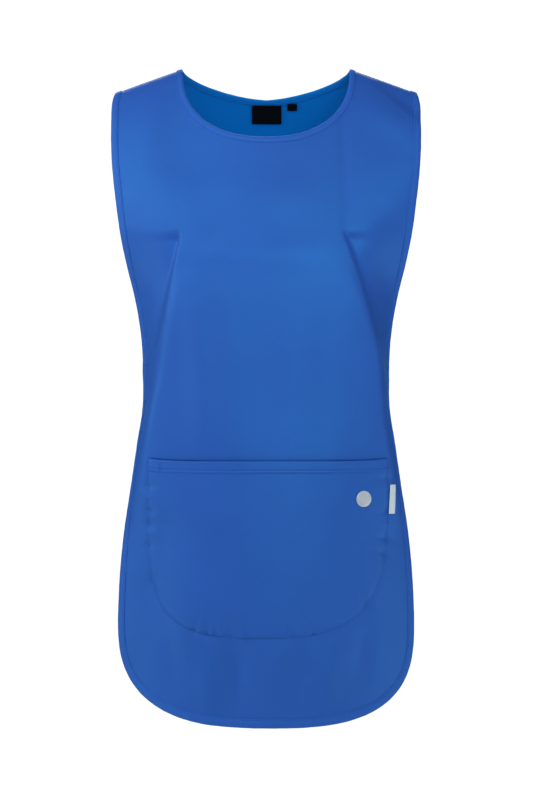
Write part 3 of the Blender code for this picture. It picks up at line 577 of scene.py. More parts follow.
def side_line(panel, x, z, low, power, side, middle=0):
    """Down one side and round to the middle of the lower edge, and the length to the corner's middle."""
    corner = super_round(x[-1], z[-1] - low, power) + (0, z[-1])
    line = np.concatenate([np.column_stack([x, z]), corner[1:]])
    line = flatten(panel, line * (side, 1) + (middle, 0))
    return line, length_of(line[:LINE_POINTS + CURVE_POINTS // 2])


def side_outline(panel, side):
    """The panel's side line, from the shoulder tip."""
    z = np.linspace(tip_level(panel), HEM_START, LINE_POINTS)
    x = interpolate(panel.sections, "half_width", z) - NOSE
    return side_line(panel, x, z, panel.hem_low, panel.hem_left if side < 0 else panel.hem_right, side)


def whole_outline(panel):
    """From the right shoulder tip round the hem to the left one, with the places of the two corners."""
    right, left = side_outline(panel, 1), side_outline(panel, -1)
    line = np.concatenate([right[0], left[0][-2::-1]])
    return line, (right[1], length_of(line) - left[1])


def pocket_line():
    """The pocket's sewn edge, from the left end of its mouth round to the right end, and its two sides."""
    x = np.full(LINE_POINTS, POCKET_HALF)
    z = np.linspace(POCKET_TOP + POCKET_TOP_RISE, POCKET_ROUND_START, LINE_POINTS)
    left, right = (side_line(FRONT, x, z, POCKET_LOW, power, side, POCKET_MIDDLE)
                   for side, power in ((-1, POCKET_LEFT_POWER), (1, POCKET_RIGHT_POWER)))
    return np.concatenate([left[0], right[0][-2::-1]]), left, right


def mouth_line(share, below=0):
    """Points of the front view on or below the pocket's mouth, at shares from -1 to 1 of its half width."""
    rise = POCKET_TOP_RISE * np.abs(share) ** POCKET_TOP_POWER
    return np.column_stack([POCKET_MIDDLE + share * POCKET_HALF, POCKET_TOP + rise - below])


def neck_outline(panel):
    """From the left neck point to the right one."""
    right = super_round(NECK_HALF, panel.neck_drop, panel.neck_power) + (0, shoulder_level(NECK_HALF))
    return flatten(panel, np.concatenate([right * (-1, 1), right[-2::-1]]))


def seam_line(panel, side, edge_margin, neck_margin, cells):
    """Points of the shoulder seam, from the side inward to the neck."""
    x = np.linspace(shoulder_tip(panel), NECK_HALF, LINE_POINTS)
    line = np.column_stack([side * x, shoulder_level(x)])
    ends = edge_margin, length_of(line) - neck_margin
    return flatten(panel, resample(line, np.linspace(*ends, cells + 1)))


def inset(line, width, start, end):
    """The line moved in by a band's width, with its two ends brought to points on the shoulder seam."""
    tangent = unit(np.gradient(line, axis=0))
    normal = np.column_stack([tangent[:, 1], -tangent[:, 0]])
    along = places_along(line)
    for away, point, near in ((along, line[0], start), (along[-1] - along, line[-1], end)):
        share = np.clip(1 - away / LEAN_LENGTH, 0, 1)[:, None] ** 2
        normal = normal * (1 - share) + unit(near - point) * share
    return line + unit(normal) * width


# ---- Meshes ----

def put(name, data, place=(0, 0, 0)):
    """A new object in the scene."""
    thing = bpy.data.objects.new(name, data)
    thing.location = place
    bpy.context.scene.collection.objects.link(thing)
    return thing


def grid_faces(ids):
    """Four-sided faces of one or more grids of point numbers."""
    corners = ids[..., :-1, :-1], ids[..., :-1, 1:], ids[..., 1:, 1:], ids[..., 1:, :-1]
    return np.stack(corners, axis=-1).reshape(-1, 4)


def grid_normals(points, facing):
    """Unit normals of a grid of points, on the side that facing points to."""
    normal = unit(np.cross(np.gradient(points, axis=1), np.gradient(points, axis=0)))
    return -normal if (normal @ np.array(facing, float)).sum() < 0 else normal


def add_mesh(name, points, faces, material, uv=None, sharp=60):
    """A mesh object with smooth shading. uv holds one pair of metres for each point."""
    mesh = bpy.data.meshes.new(name)
    mesh.from_pydata(np.asarray(points).tolist(), [], faces)
    if uv is not None:
        layer = mesh.uv_layers.new(name="cloth")
        loops = np.empty(len(mesh.loops), dtype=np.int64)
        mesh.loops.foreach_get("vertex_index", loops)
        layer.data.foreach_set("uv", np.asarray(uv)[loops].ravel())
    mesh.validate()
    work = bmesh.new()
    work.from_mesh(mesh)
    bmesh.ops.recalc_face_normals(work, faces=work.faces)
    work.to_mesh(mesh)
    work.free()
    mesh.shade_smooth()
    mesh.set_sharp_from_angle(angle=math.radians(sharp))
    mesh.materials.append(material)
    piece = put(name, mesh)
    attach(piece, "root")
    return piece


def paint_light_inside(piece, painted_light, is_inner):
    """Give a piece's inner faces a material of their own, with painted light: a brighter, more cyan blue
    for light that comes through the cloth. is_inner judges a face's lowest point number.
    """
    if painted_light:
        piece.data.materials.append(painted_light)
        for face in piece.data.polygons:
            face.material_index = int(is_inner(min(face.vertices)))


def shell(name, outer, inner, material, flat, painted_light=None):
    """A closed thin shell between two grids of points."""
    ids = np.arange(outer[..., 0].size).reshape(outer.shape[:2])
    rim = np.concatenate([ids[0, :-1], ids[:-1, -1], ids[-1, :0:-1], ids[:0:-1, 0], ids[0, :1]])
    sides = np.column_stack([rim[:-1], rim[1:], rim[1:] + ids.size, rim[:-1] + ids.size])
    faces = np.concatenate([grid_faces(ids), grid_faces(ids)[:, ::-1] + ids.size, sides])
    points = np.concatenate([outer.reshape(-1, 3), inner.reshape(-1, 3)])
    piece = add_mesh(name, points, faces.tolist(), material, np.tile(flat.reshape(-1, 2), (2, 1)))
    # Inner faces get painted light, when a material for it is given.
    paint_light_inside(piece, painted_light, lambda lowest: lowest >= ids.size)
    return piece


# ---- Panels ----

def side_levels(fine_levels):
    """Levels of the rows at the side edges, from the shoulder tip down to the start of the hem."""
    top = level = tip_level(FRONT)
    levels = [level]
    while level > HEM_START + FINE_STEP:
        fine = top - level < SHOULDER_RUN or any(abs(level - f) < MOUTH_RUN for f in fine_levels)
        level = max(level - (FINE_STEP if fine else PANEL_STEP), HEM_START)
        levels.append(level)
    return np.array(levels)


def side_rows(panel, side, levels):
    """Row ends down one side edge and on to the hem's corner."""
    line, corner = side_outline(panel, side)
    steps = np.arange(LINE_POINTS)
    place = np.interp(-levels, -np.linspace(tip_level(panel), HEM_START, LINE_POINTS), steps)
    start = length_of(line[:LINE_POINTS])
    cells = int((corner - start) / PANEL_STEP)
    low = resample(line, np.linspace(start, corner, cells + 1)[1:])
    return np.concatenate([columns_at(line[:LINE_POINTS], steps, place), low])


def blend_grid(top, bottom, left, right, top_reach, low_reach):
    """A grid between four edges, whose rows soon straighten out away from the top and bottom edges."""
    v = places_along(left)
    v = (v / v[-1])[:, None, None]
    s = sum((edge[:, 0] - edge[0, 0]) / (edge[-1, 0] - edge[0, 0]) for edge in (top, bottom)) / 2
    s = s[None, :, None]
    rows = (1 - s) * left[:, None] + s * right[:, None]
    for edge, fade in ((top, 1 - v / top_reach), (bottom, 1 - (1 - v) / low_reach)):
        rows = rows + np.clip(fade, 0, 1) ** 2 * (edge[None] - (1 - s) * edge[0] - s * edge[-1])
    return rows


def panel_grid(panel, fine_levels):
    """The panel's fine grid on the flat cloth."""
    edge_margin, neck_margin = EDGE_BAND * SHOWN_BAND, NECK_BAND * SHOWN_BAND
    levels = side_levels(fine_levels)
    ends = [side_rows(panel, side, levels) for side in (1, -1)]
    rows = min(len(end) for end in ends)
    right, left = (
        resample(end, places_along(end)[np.linspace(0, len(end) - 1, rows).astype(int)]) for end in ends
    )
    line, corners = whole_outline(panel)
    hem = resample(line, np.linspace(*corners, COLUMNS + 1))
    outer = np.concatenate([right, hem[1:-1], left[::-1]])
    shares = np.linspace(0, 1, NECK_CELLS + 1)
    shares = shares + NECK_CROWDING * ((1 - np.cos(math.pi * shares)) / 2 - shares)
    neck = resample(neck_outline(panel), length_of(neck_outline(panel)) * shares)
    seams = {side: seam_line(panel, side, edge_margin, neck_margin, SEAM_CELLS) for side in (-1, 1)}
    inner = inset(outer, edge_margin, seams[1][0], seams[-1][0])
    neck = inset(neck, neck_margin, seams[-1][-1], seams[1][-1])
    top = np.concatenate([seams[-1][:-1], neck, seams[1][-2::-1]])
    bottom = inner[rows - 1:rows + COLUMNS][::-1]
    return blend_grid(top, bottom, inner[rows - 1 + COLUMNS:][::-1], inner[:rows], TOP_REACH, HEM_REACH)


def seam_normals(panel, points):
    """Normals of a panel's grid, whose top row is put on the shoulder ridge where it is a seam."""
    normals = grid_normals(points, (0, panel.facing, 0))
    x = points[0, :, 0]
    fall = SHOULDER_FALL * x / np.hypot(x, SHOULDER_EASE)
    ridge = unit(np.column_stack([fall, 0 * fall, 1 + 0 * fall]))
    for part in (slice(0, SEAM_CELLS + 1), slice(-SEAM_CELLS - 1, None)):
        points[0, part, 1] = 0
        points[0, part, 2] = shoulder_level(x[part])
        normals[0, part] = ridge[part]
    return normals


def seam_detail(panel, flat):
    """How far sewing lifts and dips a panel's cloth: ripples beside its bindings, and the shoulder seam."""
    offset = 0
    for line, width, height, seed in ((whole_outline(panel)[0], EDGE_BAND, RIPPLE, 1.3),
                                      (neck_outline(panel), NECK_BAND, RIPPLE_NECK * RIPPLE, 2.9)):
        distance, place = nearest_on(line, flat)
        beside = np.maximum(distance - width, 0)
        offset = offset + height * np.exp(-beside / RIPPLE_REACH) * wander(place, seed + panel.facing)
    if panel is FRONT:
        for side in (-1, 1):
            distance = nearest_on(seam_line(panel, side, 0, 0, SEAM_CELLS), flat)[0]
            offset -= SHOULDER_GROOVE * bell(distance - SHOULDER_STITCH, GROOVE_WIDTH)
    return offset


def pocket_marks(flat):
    """The pocket's seam pulls the front panel in a little, and its mouth leaves a hollow above it."""
    distance, place = nearest_on(pocket_line()[0], flat)
    points = drape(FRONT, flat)
    x = np.abs(points[..., 0] - POCKET_MIDDLE) / POCKET_HALF
    mouth = POCKET_TOP + POCKET_TOP_RISE * np.clip(x, 0, 1) ** POCKET_TOP_POWER
    hollow = MOUTH_HOLLOW * bell(points[..., 2] - mouth + MOUTH_DROP, MOUTH_WIDTH)
    sewn = pucker_height(distance, place, PUCKER_FADE) - SEAM_PULL * bell(distance, SEAM_PULL_WIDTH)
    folds = fold_height(HEM_CREASES, points[..., 0], points[..., 2])
    return sewn + folds - hollow * smooth_step((1.0 - x) / MOUTH_END)


def build_panel(name, panel, material, painted_light=None, fine_levels=(), marks=None):
    flat = panel_grid(panel, fine_levels)
    points = drape(panel, flat)
    detail = seam_detail(panel, flat) + (marks(flat) if marks else 0)
    normals = seam_normals(panel, points)
    points = points + normals * detail[..., None]
    shift = seam_normals(panel, points) * CLOTH / 2
    return shell(name, points + shift, points - shift, material, flat, painted_light)


# ---- Stitches and bindings ----

def stitch_row(name, paths, material, pitch=0.0031, length=0.0023):
    """Short sewn stitches along one or more lines, each a small tube that dips into the cloth."""
    rises = np.array(STITCH_RISE) * THREAD
    angle = 2 * math.pi * np.arange(THREAD_SIDES)[:, None] / THREAD_SIDES
    points, faces, count = [], [], 0
    for path, normals in paths:
        along = places_along(path)
        starts = np.arange(pitch / 2, along[-1] - length, pitch)
        spots = (starts[:, None] + np.linspace(0, length, len(rises))).ravel()
        up = unit(columns_at(normals, along, spots))
        centre = resample(path, spots) + up * np.tile(rises, len(starts))[:, None]
        ahead = np.gradient(centre.reshape(-1, len(rises), 3), axis=1).reshape(-1, 3)
        side = unit(np.cross(up, ahead))
        over = unit(np.cross(ahead, side))
        tube = centre[:, None] + THREAD * (side[:, None] * np.cos(angle) + over[:, None] * np.sin(angle))
        points.append(tube.reshape(-1, 3))
        ids = count + np.arange(len(points[-1])).reshape(-1, len(rises), THREAD_SIDES)
        count += ids.size
        faces += [grid_faces(np.concatenate([ids, ids[..., :1]], axis=2)), ids[:, 0, ::-1], ids[:, -1]]
    return add_mesh(name, np.concatenate(points), np.concatenate(faces).tolist(), material)


def stitch_shoulders(material):
    """A row of stitches on the front, beside each shoulder seam."""
    rows = []
    for side in (-1, 1):
        line = seam_line(FRONT, side, EDGE_BAND, NECK_BAND, LINE_POINTS) - (0, SHOULDER_STITCH)
        rows.append((stand_off(FRONT, line, (CLOTH - SHOULDER_GROOVE) / 2), outward(FRONT, line)))
    stitch_row("shoulder_stitches", rows, material)


def band_half(panel, is_neck, shares):
    """Points and normals of a binding's stations on one panel, at shares of the way across it."""
    ends = [seam_line(panel, side, EDGE_BAND, NECK_BAND, SEAM_CELLS) for side in (1, -1)]
    if is_neck:
        line, width, ends = neck_outline(panel), NECK_BAND, (ends[1][-1], ends[0][-1])
    else:
        line, width, ends = whole_outline(panel)[0], EDGE_BAND, (ends[0][0], ends[1][0])
    outer = resample(line, np.linspace(0, length_of(line), int(length_of(line) / BAND_STEP)))
    rim = inset(outer, width, *ends)
    flats = [rim + (outer - rim) * share for share in shares]
    return np.array([[drape(panel, flat), outward(panel, flat)] for flat in flats])


def band_loop(is_neck, shares):
    """Points and normals round the whole edge for each share. The two halves share their end stations."""
    front, back = band_half(FRONT, is_neck, shares), band_half(BACK, is_neck, shares)[:, :, ::-1]
    start, turn = (front[:, :, :1] + back[:, :, -1:]) / 2, (front[:, :, -1:] + back[:, :, :1]) / 2
    loop = np.concatenate([start, front[:, :, 1:-1], turn, back[:, :, 1:-1]], axis=2)
    loop[:, 1] = unit(loop[:, 1])
    return dict(zip(shares, loop))


def closed(line):
    return np.concatenate([line, line[:1]])


def build_binding(name, is_neck, material, thread, painted_light=None):
    """A folded strip round one whole edge, with a row of stitches on each side."""
    loop = band_loop(is_neck, sorted({p.share for p in FLANGE + INSIDE} | {NEAR_EDGE}))
    edge = loop[1][0]
    out = unit(edge - loop[NEAR_EDGE][0])
    place = places_along(closed(edge))[:-1]
    puff = 1 + BAND_PUFF * wander(place, 0.7)[:, None]
    sway = BAND_SWAY * wander(place * 0.7, 2.2)[:, None]

    def at(profile, sign):
        points, normals = loop[profile.share]
        high = sign * profile.height * (puff if profile.height > CLOTH else 1)
        return points + normals * high + out * (profile.out + sway * profile.share)

    rings = [at(p, 1) for p in FLANGE] + [edge + out * (NOSE + sway)] + [at(p, -1) for p in FLANGE[::-1]]
    rings += [at(p, -1) for p in INSIDE] + [edge + out * FOLD_HOLLOW] + [at(p, 1) for p in INSIDE[::-1]]
    rings = np.array(rings)
    across = np.concatenate([[0], np.cumsum(np.linalg.norm(np.diff(rings, axis=0), axis=2).mean(1))])
    uv = np.stack(np.broadcast_arrays(place[None, :], across[:, None]), axis=-1)
    ids = np.pad(np.arange(rings[..., 0].size).reshape(rings.shape[:2]), (0, 1), mode="wrap")
    band = add_mesh(name, rings.reshape(-1, 3), grid_faces(ids).tolist(), material, uv.reshape(-1, 2))
    # The binding's inner side, from its fold in, gets painted light.
    paint_light_inside(band, painted_light, lambda lowest: len(FLANGE) <= lowest // len(edge) < 2 * len(FLANGE))
    points, normals = loop[STITCH_SHARE]
    for side, label in ((1, "outer"), (-1, "inner")):
        path = closed(points + normals * side * STITCH_HEIGHT), closed(normals) * side
        stitch_row(f"{name}_stitches_{label}", [path], thread)
    return band


# ---- Pocket ----

def uneven_steps(total, first_run, last_run):
    """Places from 0 to total, close together over a run at either end."""
    middle = np.linspace(first_run, total - last_run, int((total - first_run) / POCKET_STEP))[:-1]
    last = total - np.arange(0, last_run, POCKET_FINE)[::-1]
    return np.concatenate([np.arange(0, first_run, POCKET_FINE), middle, last])


def pocket_grid():
    """The pocket's grid on the flat cloth, its sewn edge, and the grid's shares across and down."""
    whole, (left, left_corner), (right, right_corner) = pocket_line()
    rows = uneven_steps(left_corner, POCKET_HEM + POCKET_RUN, POCKET_LOW_RUN)
    x = uneven_steps(2 * POCKET_HALF, POCKET_RUN, POCKET_RUN) / POCKET_HALF - 1
    share = (x + 1) / 2
    span = length_of(whole) - right_corner - left_corner
    top, bottom = flatten(FRONT, mouth_line(x)), resample(whole, left_corner + span * share)
    sides = resample(left, rows), resample(right, rows * right_corner / left_corner)
    grid = blend_grid(top, bottom, *sides, POCKET_TOP_REACH, POCKET_LOW_REACH)
    return grid, whole, share, rows[:, None] / left_corner


def pucker_height(distance, place, reach):
    """Height of the ripples and puckers beside the pocket's seam, the same in the pocket and the panel."""
    height = RIPPLE * np.exp(-distance / RIPPLE_REACH) * wander(place, 4.1)
    spots = flatten(FRONT, [[pucker.x, pucker.z] for pucker in PUCKERS])
    for pucker, at in zip(PUCKERS, nearest_on(pocket_line()[0], spots)[1]):
        height = height + pucker.height * bell(place - at, pucker.width) * np.exp(-distance / reach)
    return height


def pocket_heights(flat, whole, share, down):
    """Heights of the pocket's inner and outer face over the front panel's mid surface.

    The cloth is thicker where its hem and edge are turned in, dips at the stitches and is rounded off.
    """
    edge, place = nearest_on(whole, flat)
    mouth = flat[0, :, 1] - flat[..., 1]
    gape = POCKET_GAPE * np.sqrt(np.sin(math.pi * np.clip(share, 0, 1))) * np.clip(1 - down, 0, 1) ** 3
    full = POCKET_FULLNESS * np.sin(math.pi * share) * np.sin(math.pi * down)
    sewn = POCKET_PULL * (1 - smooth_step(edge / POCKET_PULL_RUN))
    inner = CLOTH / 2 + POCKET_STAND * (1 - sewn) + gape + full + pucker_height(edge, place, PUCKER_REACH)
    turned = 1 - smooth_step((edge - POCKET_TURNED) / 0.0020)
    hem = 1 - smooth_step((mouth - POCKET_HEM + 0.0006) / 0.0012)
    thick = CLOTH * (0.85 + 0.30 * turned) + POCKET_HEM_RAISE * hem
    thick = thick - sum(HEM_STITCH_DIP * bell(mouth - row, 0.0007) for row in POCKET_STITCH_ROWS)
    thick = thick - EDGE_STITCH_DIP * bell(edge - POCKET_EDGE_STITCH, 0.0008)
    rounded = np.sqrt(np.clip(edge / 0.0022, 0, 1) * np.clip(mouth / 0.0012, 0, 1))
    return inner, inner + THIN_EDGE + (thick - THIN_EDGE) * rounded


class Surface:
    """Finds points and normals of a draped grid from places on the flat cloth."""

    def __init__(self, flat, points, normals):
        self.points, self.normals = points.reshape(-1, 3), normals.reshape(-1, 3)
        self.tree = flat_tree(flat.reshape(-1, 2))

    def at(self, path):
        points, normals = [], []
        for x, y in path:
            near = self.tree.find_n((x, y, 0), 4)
            weight = np.array([1 / (found[2] + 1e-5) ** 2 for found in near])[:, None]
            index = [found[1] for found in near]
            points.append((self.points[index] * weight).sum(0) / weight.sum())
            normals.append(self.normals[index[0]])
        return np.array(points), np.array(normals)


def build_pocket(material, thread):
    flat, whole, share, down = pocket_grid()
    low, high = pocket_heights(flat, whole, share, down)
    points, normals = drape(FRONT, flat), outward(FRONT, flat)
    creases = fold_height(POCKET_CREASES, points[..., 0], points[..., 2])
    creases = creases * smooth_step(nearest_on(whole, flat)[0] / CREASE_FADE)
    inner, outer = (points + normals * (creases + height)[..., None] for height in (low, high))
    pocket = shell("pocket_cloth", outer, inner, material, flat)
    surface = Surface(flat, outer, normals)
    across = np.linspace(-1, 1, 240) * (1 - 0.0015 / POCKET_HALF)
    rows = [surface.at(flatten(FRONT, mouth_line(across, below))) for below in POCKET_STITCH_ROWS]
    tangent = unit(np.gradient(whole, axis=0))
    edge = whole + np.column_stack([-tangent[:, 1], tangent[:, 0]]) * POCKET_EDGE_STITCH
    rows.append(surface.at(resample(edge, np.arange(0.001, length_of(edge) - 0.001, 0.0012))))
    stitch_row("pocket_stitches", rows, thread)
    tacks = []
    for side, from_end in TACKS:
        for step in range(TACK_STITCHES):
            place = side * (1 - (from_end + TACK_STEP * step) / POCKET_HALF)
            ends = mouth_line(np.array([place, place]), np.array(TACK_LEVELS))
            tacks.append(surface.at(flatten(FRONT, ends)))
    stitch_row("pocket_tacks", tacks, thread, pitch=0.0024, length=0.0021)
    return pocket, surface


# ---- Tabs, labels and badge ----

def tab_lap(panel, side, levels):
    """Rows of a tab's end inside a panel, from its own end out to the panel's edge."""
    half = interpolate(panel.sections, "half_width", levels) - NOSE
    edge = flatten(panel, np.column_stack([side * half, levels]))
    reach = side * np.linspace(TAB_LAP, 0, TAB_FINE_LAP + 1)
    lap = edge[:, None] - np.column_stack([reach, 0 * reach])
    return stand_off(panel, lap, -(CLOTH + BAND_CLOTH + 2 * GAP))


def build_tab(name, side, material, thread):
    """A doubled strap inside both side edges at the waist."""
    levels = TAB_TOP - TAB_HEIGHT * np.linspace(0, 1, TAB_FINE_ROWS + 1)
    front, back = tab_lap(FRONT, side, levels), tab_lap(BACK, side, levels)
    pull = np.linalg.norm(back[:, -1] - front[:, -1], axis=1)[:, None] * TAB_PULL
    start, end = front[:, -1], back[:, -1]
    leave, arrive = (unit(lap[:, -1] - lap[:, -3]) * pull + (side * TAB_BOW, 0, 0) for lap in (front, back))
    t = np.linspace(0, 1, TAB_FINE_SPAN + 1)[1:-1, None]
    shares = (1 - t)**3, 3 * t * (1 - t)**2, 3 * t**2 * (1 - t), t**3
    middle = sum(s * p[:, None] for s, p in zip(shares, (start, start + leave, end + arrive, end)))
    points = np.concatenate([front, middle, back[:, ::-1]], axis=1)
    normals = grid_normals(points, (side, 0, 0))
    across = places_along(points[0])[None, :]
    flat = np.stack(np.broadcast_arrays(across, levels[:, None]), axis=-1)
    from_edge = np.minimum(TAB_TOP - levels, levels - TAB_TOP + TAB_HEIGHT)
    half = TAB_HALF * np.sqrt(np.clip(from_edge / 0.001, 0.04, 1))
    half = half - TAB_DIP * bell(from_edge - TAB_STITCH, 0.0006)
    soft = TAB_SOFT * np.sin(across * 90 + 5 * side) * np.sin(levels[:, None] * 130)
    outer, inner = (points + normals * (soft + sign * half[:, None])[..., None] for sign in (1, -1))
    tab = shell(name, outer, inner, material, flat)
    row = round(TAB_STITCH / TAB_HEIGHT * TAB_FINE_ROWS)
    paths = [(face[k], sign * normals[k]) for face, sign in ((outer, 1), (inner, -1))
             for k in (row, TAB_FINE_ROWS - row)]
    stitch_row(name + "_stitches", paths, thread)
    return tab


def build_patch(name, panel, patch, stand, material):
    """A small woven label with rounded edges. stand is its distance from a panel, negative inside."""
    rim = np.array([0, 0.00015, 0.0004, 0.001])
    across, down = (np.concatenate([rim, np.linspace(0.002, size - 0.002, cells), size - rim[::-1]])
                    for size, cells in ((patch.width, 24), (patch.height, 18)))
    from_edge = np.minimum(np.minimum(across, patch.width - across)[None, :],
                           np.minimum(down, patch.height - down)[:, None])
    half = LABEL_CLOTH / 2 * np.sqrt(np.clip(from_edge / 0.0004, 0.05, 1))
    uv = np.stack(np.meshgrid(across, -down), axis=-1)
    flat = flatten(panel, [[patch.x_left, patch.z_top]])[0] + uv
    middle, sign = stand + math.copysign(LABEL_CLOTH / 2, stand), math.copysign(1, stand)
    outer, inner = (stand_off(panel, flat, middle + side * half) for side in (sign, -sign))
    return shell(name, outer, inner, material, uv)


def build_badge(surface, material):
    """A flat round badge with a raised rounded rim and a faintly domed bare face."""
    (base,), (normal,) = surface.at(flatten(FRONT, [[BADGE_X, BADGE_Z]]))
    side = unit(np.cross(normal, (0, 0, 1)))
    up = np.cross(side, normal)
    ease, inside, top = BADGE_EASE, BADGE_RADIUS - BADGE_RIM, BADGE_THICKNESS
    face = top - BADGE_RIM_DEPTH
    rings = [(BADGE_RADIUS - ease, BADGE_STAND), (BADGE_RADIUS, BADGE_STAND + ease),
             (BADGE_RADIUS, top - ease), (BADGE_RADIUS - 0.3 * ease, top - 0.3 * ease),
             (BADGE_RADIUS - ease, top), (inside + ease, top), (inside, top - 0.3 * ease),
             (inside - ease, face)]
    rings += [((inside - ease) * s, face + BADGE_DOME * (1 - s**2)) for s in (0.8, 0.6, 0.4, 0.2, 0.05)]
    angle = 2 * math.pi * np.arange(BADGE_FINE_SIDES)[:, None] / BADGE_FINE_SIDES
    circle = np.cos(angle) * side + np.sin(angle) * up
    points = np.concatenate([base + circle * radius + normal * height for radius, height in rings])
    ids = np.arange(len(points)).reshape(len(rings), -1)
    faces = grid_faces(np.concatenate([ids, ids[:, :1]], axis=1)).tolist() + ids[[0, -1]].tolist()
    return add_mesh("badge", points, faces, material, sharp=40)


# ---- Materials ----

class Look:
    """Builds one procedural material, node by node."""

    def __init__(self, name, roughness, sheen=0.0, metallic=0.0, specular=0.5, gloss=(1, 1, 1)):
        self.material = bpy.data.materials.new(name)
        self.material.use_nodes = True
        self.tree = self.material.node_tree
        self.shader = self.tree.nodes["Principled BSDF"]
        for key, value in {
            "Roughness": roughness, "Metallic": metallic, "Specular IOR Level": specular,
            "Specular Tint": (*gloss, 1), "Sheen Weight": sheen, "Sheen Tint": (*gloss, 1),
            "Sheen Roughness": 0.45,
        }.items():
            self.shader.inputs[key].default_value = value
        self.place = self.node("ShaderNodeTexCoord", "Object")

    def node(self, kind, result, inputs=(), **settings):
        """One output of a new node. Each input takes a constant or another node's output."""
        node = self.tree.nodes.new(kind)
        for key, value in settings.items():
            setattr(node, key, value)
        for key, value in dict(inputs).items():
            if isinstance(value, bpy.types.NodeSocket):
                self.tree.links.new(value, node.inputs[key])
            else:
                node.inputs[key].default_value = value
        return node.outputs[result]

    def math(self, operation, *values):
        return self.node("ShaderNodeMath", 0, enumerate(values), operation=operation)

    def weighted(self, *pairs):
        """Sum of outputs, each with its weight."""
        parts = [self.math("MULTIPLY", value, weight) for value, weight in pairs]
        total = parts[0]
        for part in parts[1:]:
            total = self.math("ADD", total, part)
        return total

    def noise(self, vector, scale, detail):
        return self.node("ShaderNodeTexNoise", "Fac", {"Vector": vector, "Scale": scale, "Detail": detail})

    def mapped(self, vector, setting, value):
        return self.node("ShaderNodeMapping", "Vector", {"Vector": vector, setting: value})

    def paint(self, factor, *stops):
        """Colour the surface between (place, colour) stops."""
        node = self.tree.nodes.new("ShaderNodeValToRGB")
        for element, (place, colour) in zip(node.color_ramp.elements, stops):
            element.position = place
            element.color = (*colour, 1)
        self.tree.links.new(factor, node.inputs["Fac"])
        self.tree.links.new(node.outputs["Color"], self.shader.inputs["Base Color"])

    def emboss(self, *layers):
        """Bump the surface with layers of (height, strength, distance)."""
        bumped = {}
        for height, strength, distance in layers:
            inputs = {"Height": height, "Strength": strength, "Distance": distance, **bumped}
            bumped = {"Normal": self.node("ShaderNodeBump", "Normal", inputs)}
        self.tree.links.new(bumped["Normal"], self.shader.inputs["Normal"])


def shade(colour, factor):
    return tuple(c * factor for c in colour)


def woven(name, colour, thread=0.00045, bias=0.0, roughness=0.50, sheen=0.15, gloss=BLUE_GLOSS, shine=0.9):
    """Plain-weave cloth. The weave runs along the flat cloth's own coordinates, turned by bias."""
    look = Look(name, roughness, sheen, specular=shine, gloss=gloss)
    turned = look.mapped(look.node("ShaderNodeUVMap", "UV", uv_map="cloth"), "Rotation", (0, 0, bias))
    axes = (look.node("ShaderNodeSeparateXYZ", axis, {0: turned}) for axis in "XY")
    warp, weft = (look.math("SINE", look.math("MULTIPLY", axis, 2 * math.pi / thread)) for axis in axes)
    weave = look.math("ADD", look.math("MULTIPLY", look.math("MULTIPLY", warp, weft), 0.35), 0.5)
    streaks = look.noise(look.mapped(turned, "Scale", (1600, 90, 1)), 1.0, 1.0)
    patches, grain = look.noise(look.place, 14.0, 3.0), look.noise(look.place, 900.0, 1.0)
    tone = look.weighted((patches, 0.55), (streaks, 0.25), (grain, 0.2))
    look.paint(tone, (0.3, shade(colour, 1 - MOTTLE)), (0.7, shade(colour, 1 + MOTTLE)))
    height = look.math("ADD", weave, look.math("MULTIPLY", streaks, 0.5))
    look.emboss((height, 0.5, WEAVE_DEPTH), (look.noise(look.place, 55.0, 3.0), 0.35, WRINKLE_DEPTH))
    return look.material


def twisted_thread(name, colour):
    look = Look(name, 0.6, 0.1, specular=0.6, gloss=BLUE_GLOSS)
    twist = look.noise(look.place, 2500.0, 1.0)
    look.paint(twist, (0.35, shade(colour, 0.8)), (0.65, shade(colour, 1.2)))
    look.emboss((twist, 0.5, 0.0001))
    return look.material


def satin_metal(name, colour):
    """Brushed pale metal with a faintly uneven tone."""
    look = Look(name, 0.42, metallic=0.35)
    brush = look.noise(look.mapped(look.place, "Scale", (300, 300, 9000)), 1.0, 2.0)
    tone = look.weighted((brush, 0.6), (look.noise(look.place, 260.0, 2.0), 0.4))
    look.paint(tone, (0.35, shade(colour, 0.9)), (0.65, shade(colour, 1.08)))
    look.emboss((brush, 0.25, 0.00003))
    return look.material


def plain_floor(name, colour):
    look = Look(name, 0.9)
    look.paint(look.noise(look.place, 1.5, 2.0), (0.3, shade(colour, 0.985)), (0.7, colour))
    return look.material


# ---- Room ----

def add_lamps():
    for lamp in LAMPS:
        data = bpy.data.lights.new(lamp.name, "AREA")
        data.shape = "RECTANGLE"
        data.size, data.size_y = lamp.size
        data.energy = lamp.power
        aim = Vector(LAMP_TARGET) - Vector(lamp.place)
        put(lamp.name, data, lamp.place).rotation_euler = aim.to_track_quat("-Z", "Y").to_euler()


def add_world():
    """White to the camera, and a softer white as light."""
    world = bpy.data.worlds.new("studio")
    bpy.context.scene.world = world
    world.use_nodes = True
    nodes, links = world.node_tree.nodes, world.node_tree.links
    nodes.clear()
    mix = nodes.new("ShaderNodeMixShader")
    links.new(nodes.new("ShaderNodeLightPath").outputs["Is Camera Ray"], mix.inputs["Fac"])
    for socket, strength in ((1, FILL_STRENGTH), (2, SEEN_STRENGTH)):
        light = nodes.new("ShaderNodeBackground")
        light.inputs["Color"].default_value = (1, 1, 1, 1)
        light.inputs["Strength"].default_value = strength
        links.new(light.outputs["Background"], mix.inputs[socket])
    links.new(mix.outputs["Shader"], nodes.new("ShaderNodeOutputWorld").inputs["Surface"])


def add_floor():
    mesh = bpy.data.meshes.new("floor")
    work = bmesh.new()
    bmesh.ops.create_circle(work, cap_ends=True, segments=96, radius=FLOOR_RADIUS)
    work.to_mesh(mesh)
    work.free()
    mesh.materials.append(plain_floor("pale_floor", FLOOR_WHITE))
    put("floor", mesh, (0, 0, FLOOR_LEVEL))


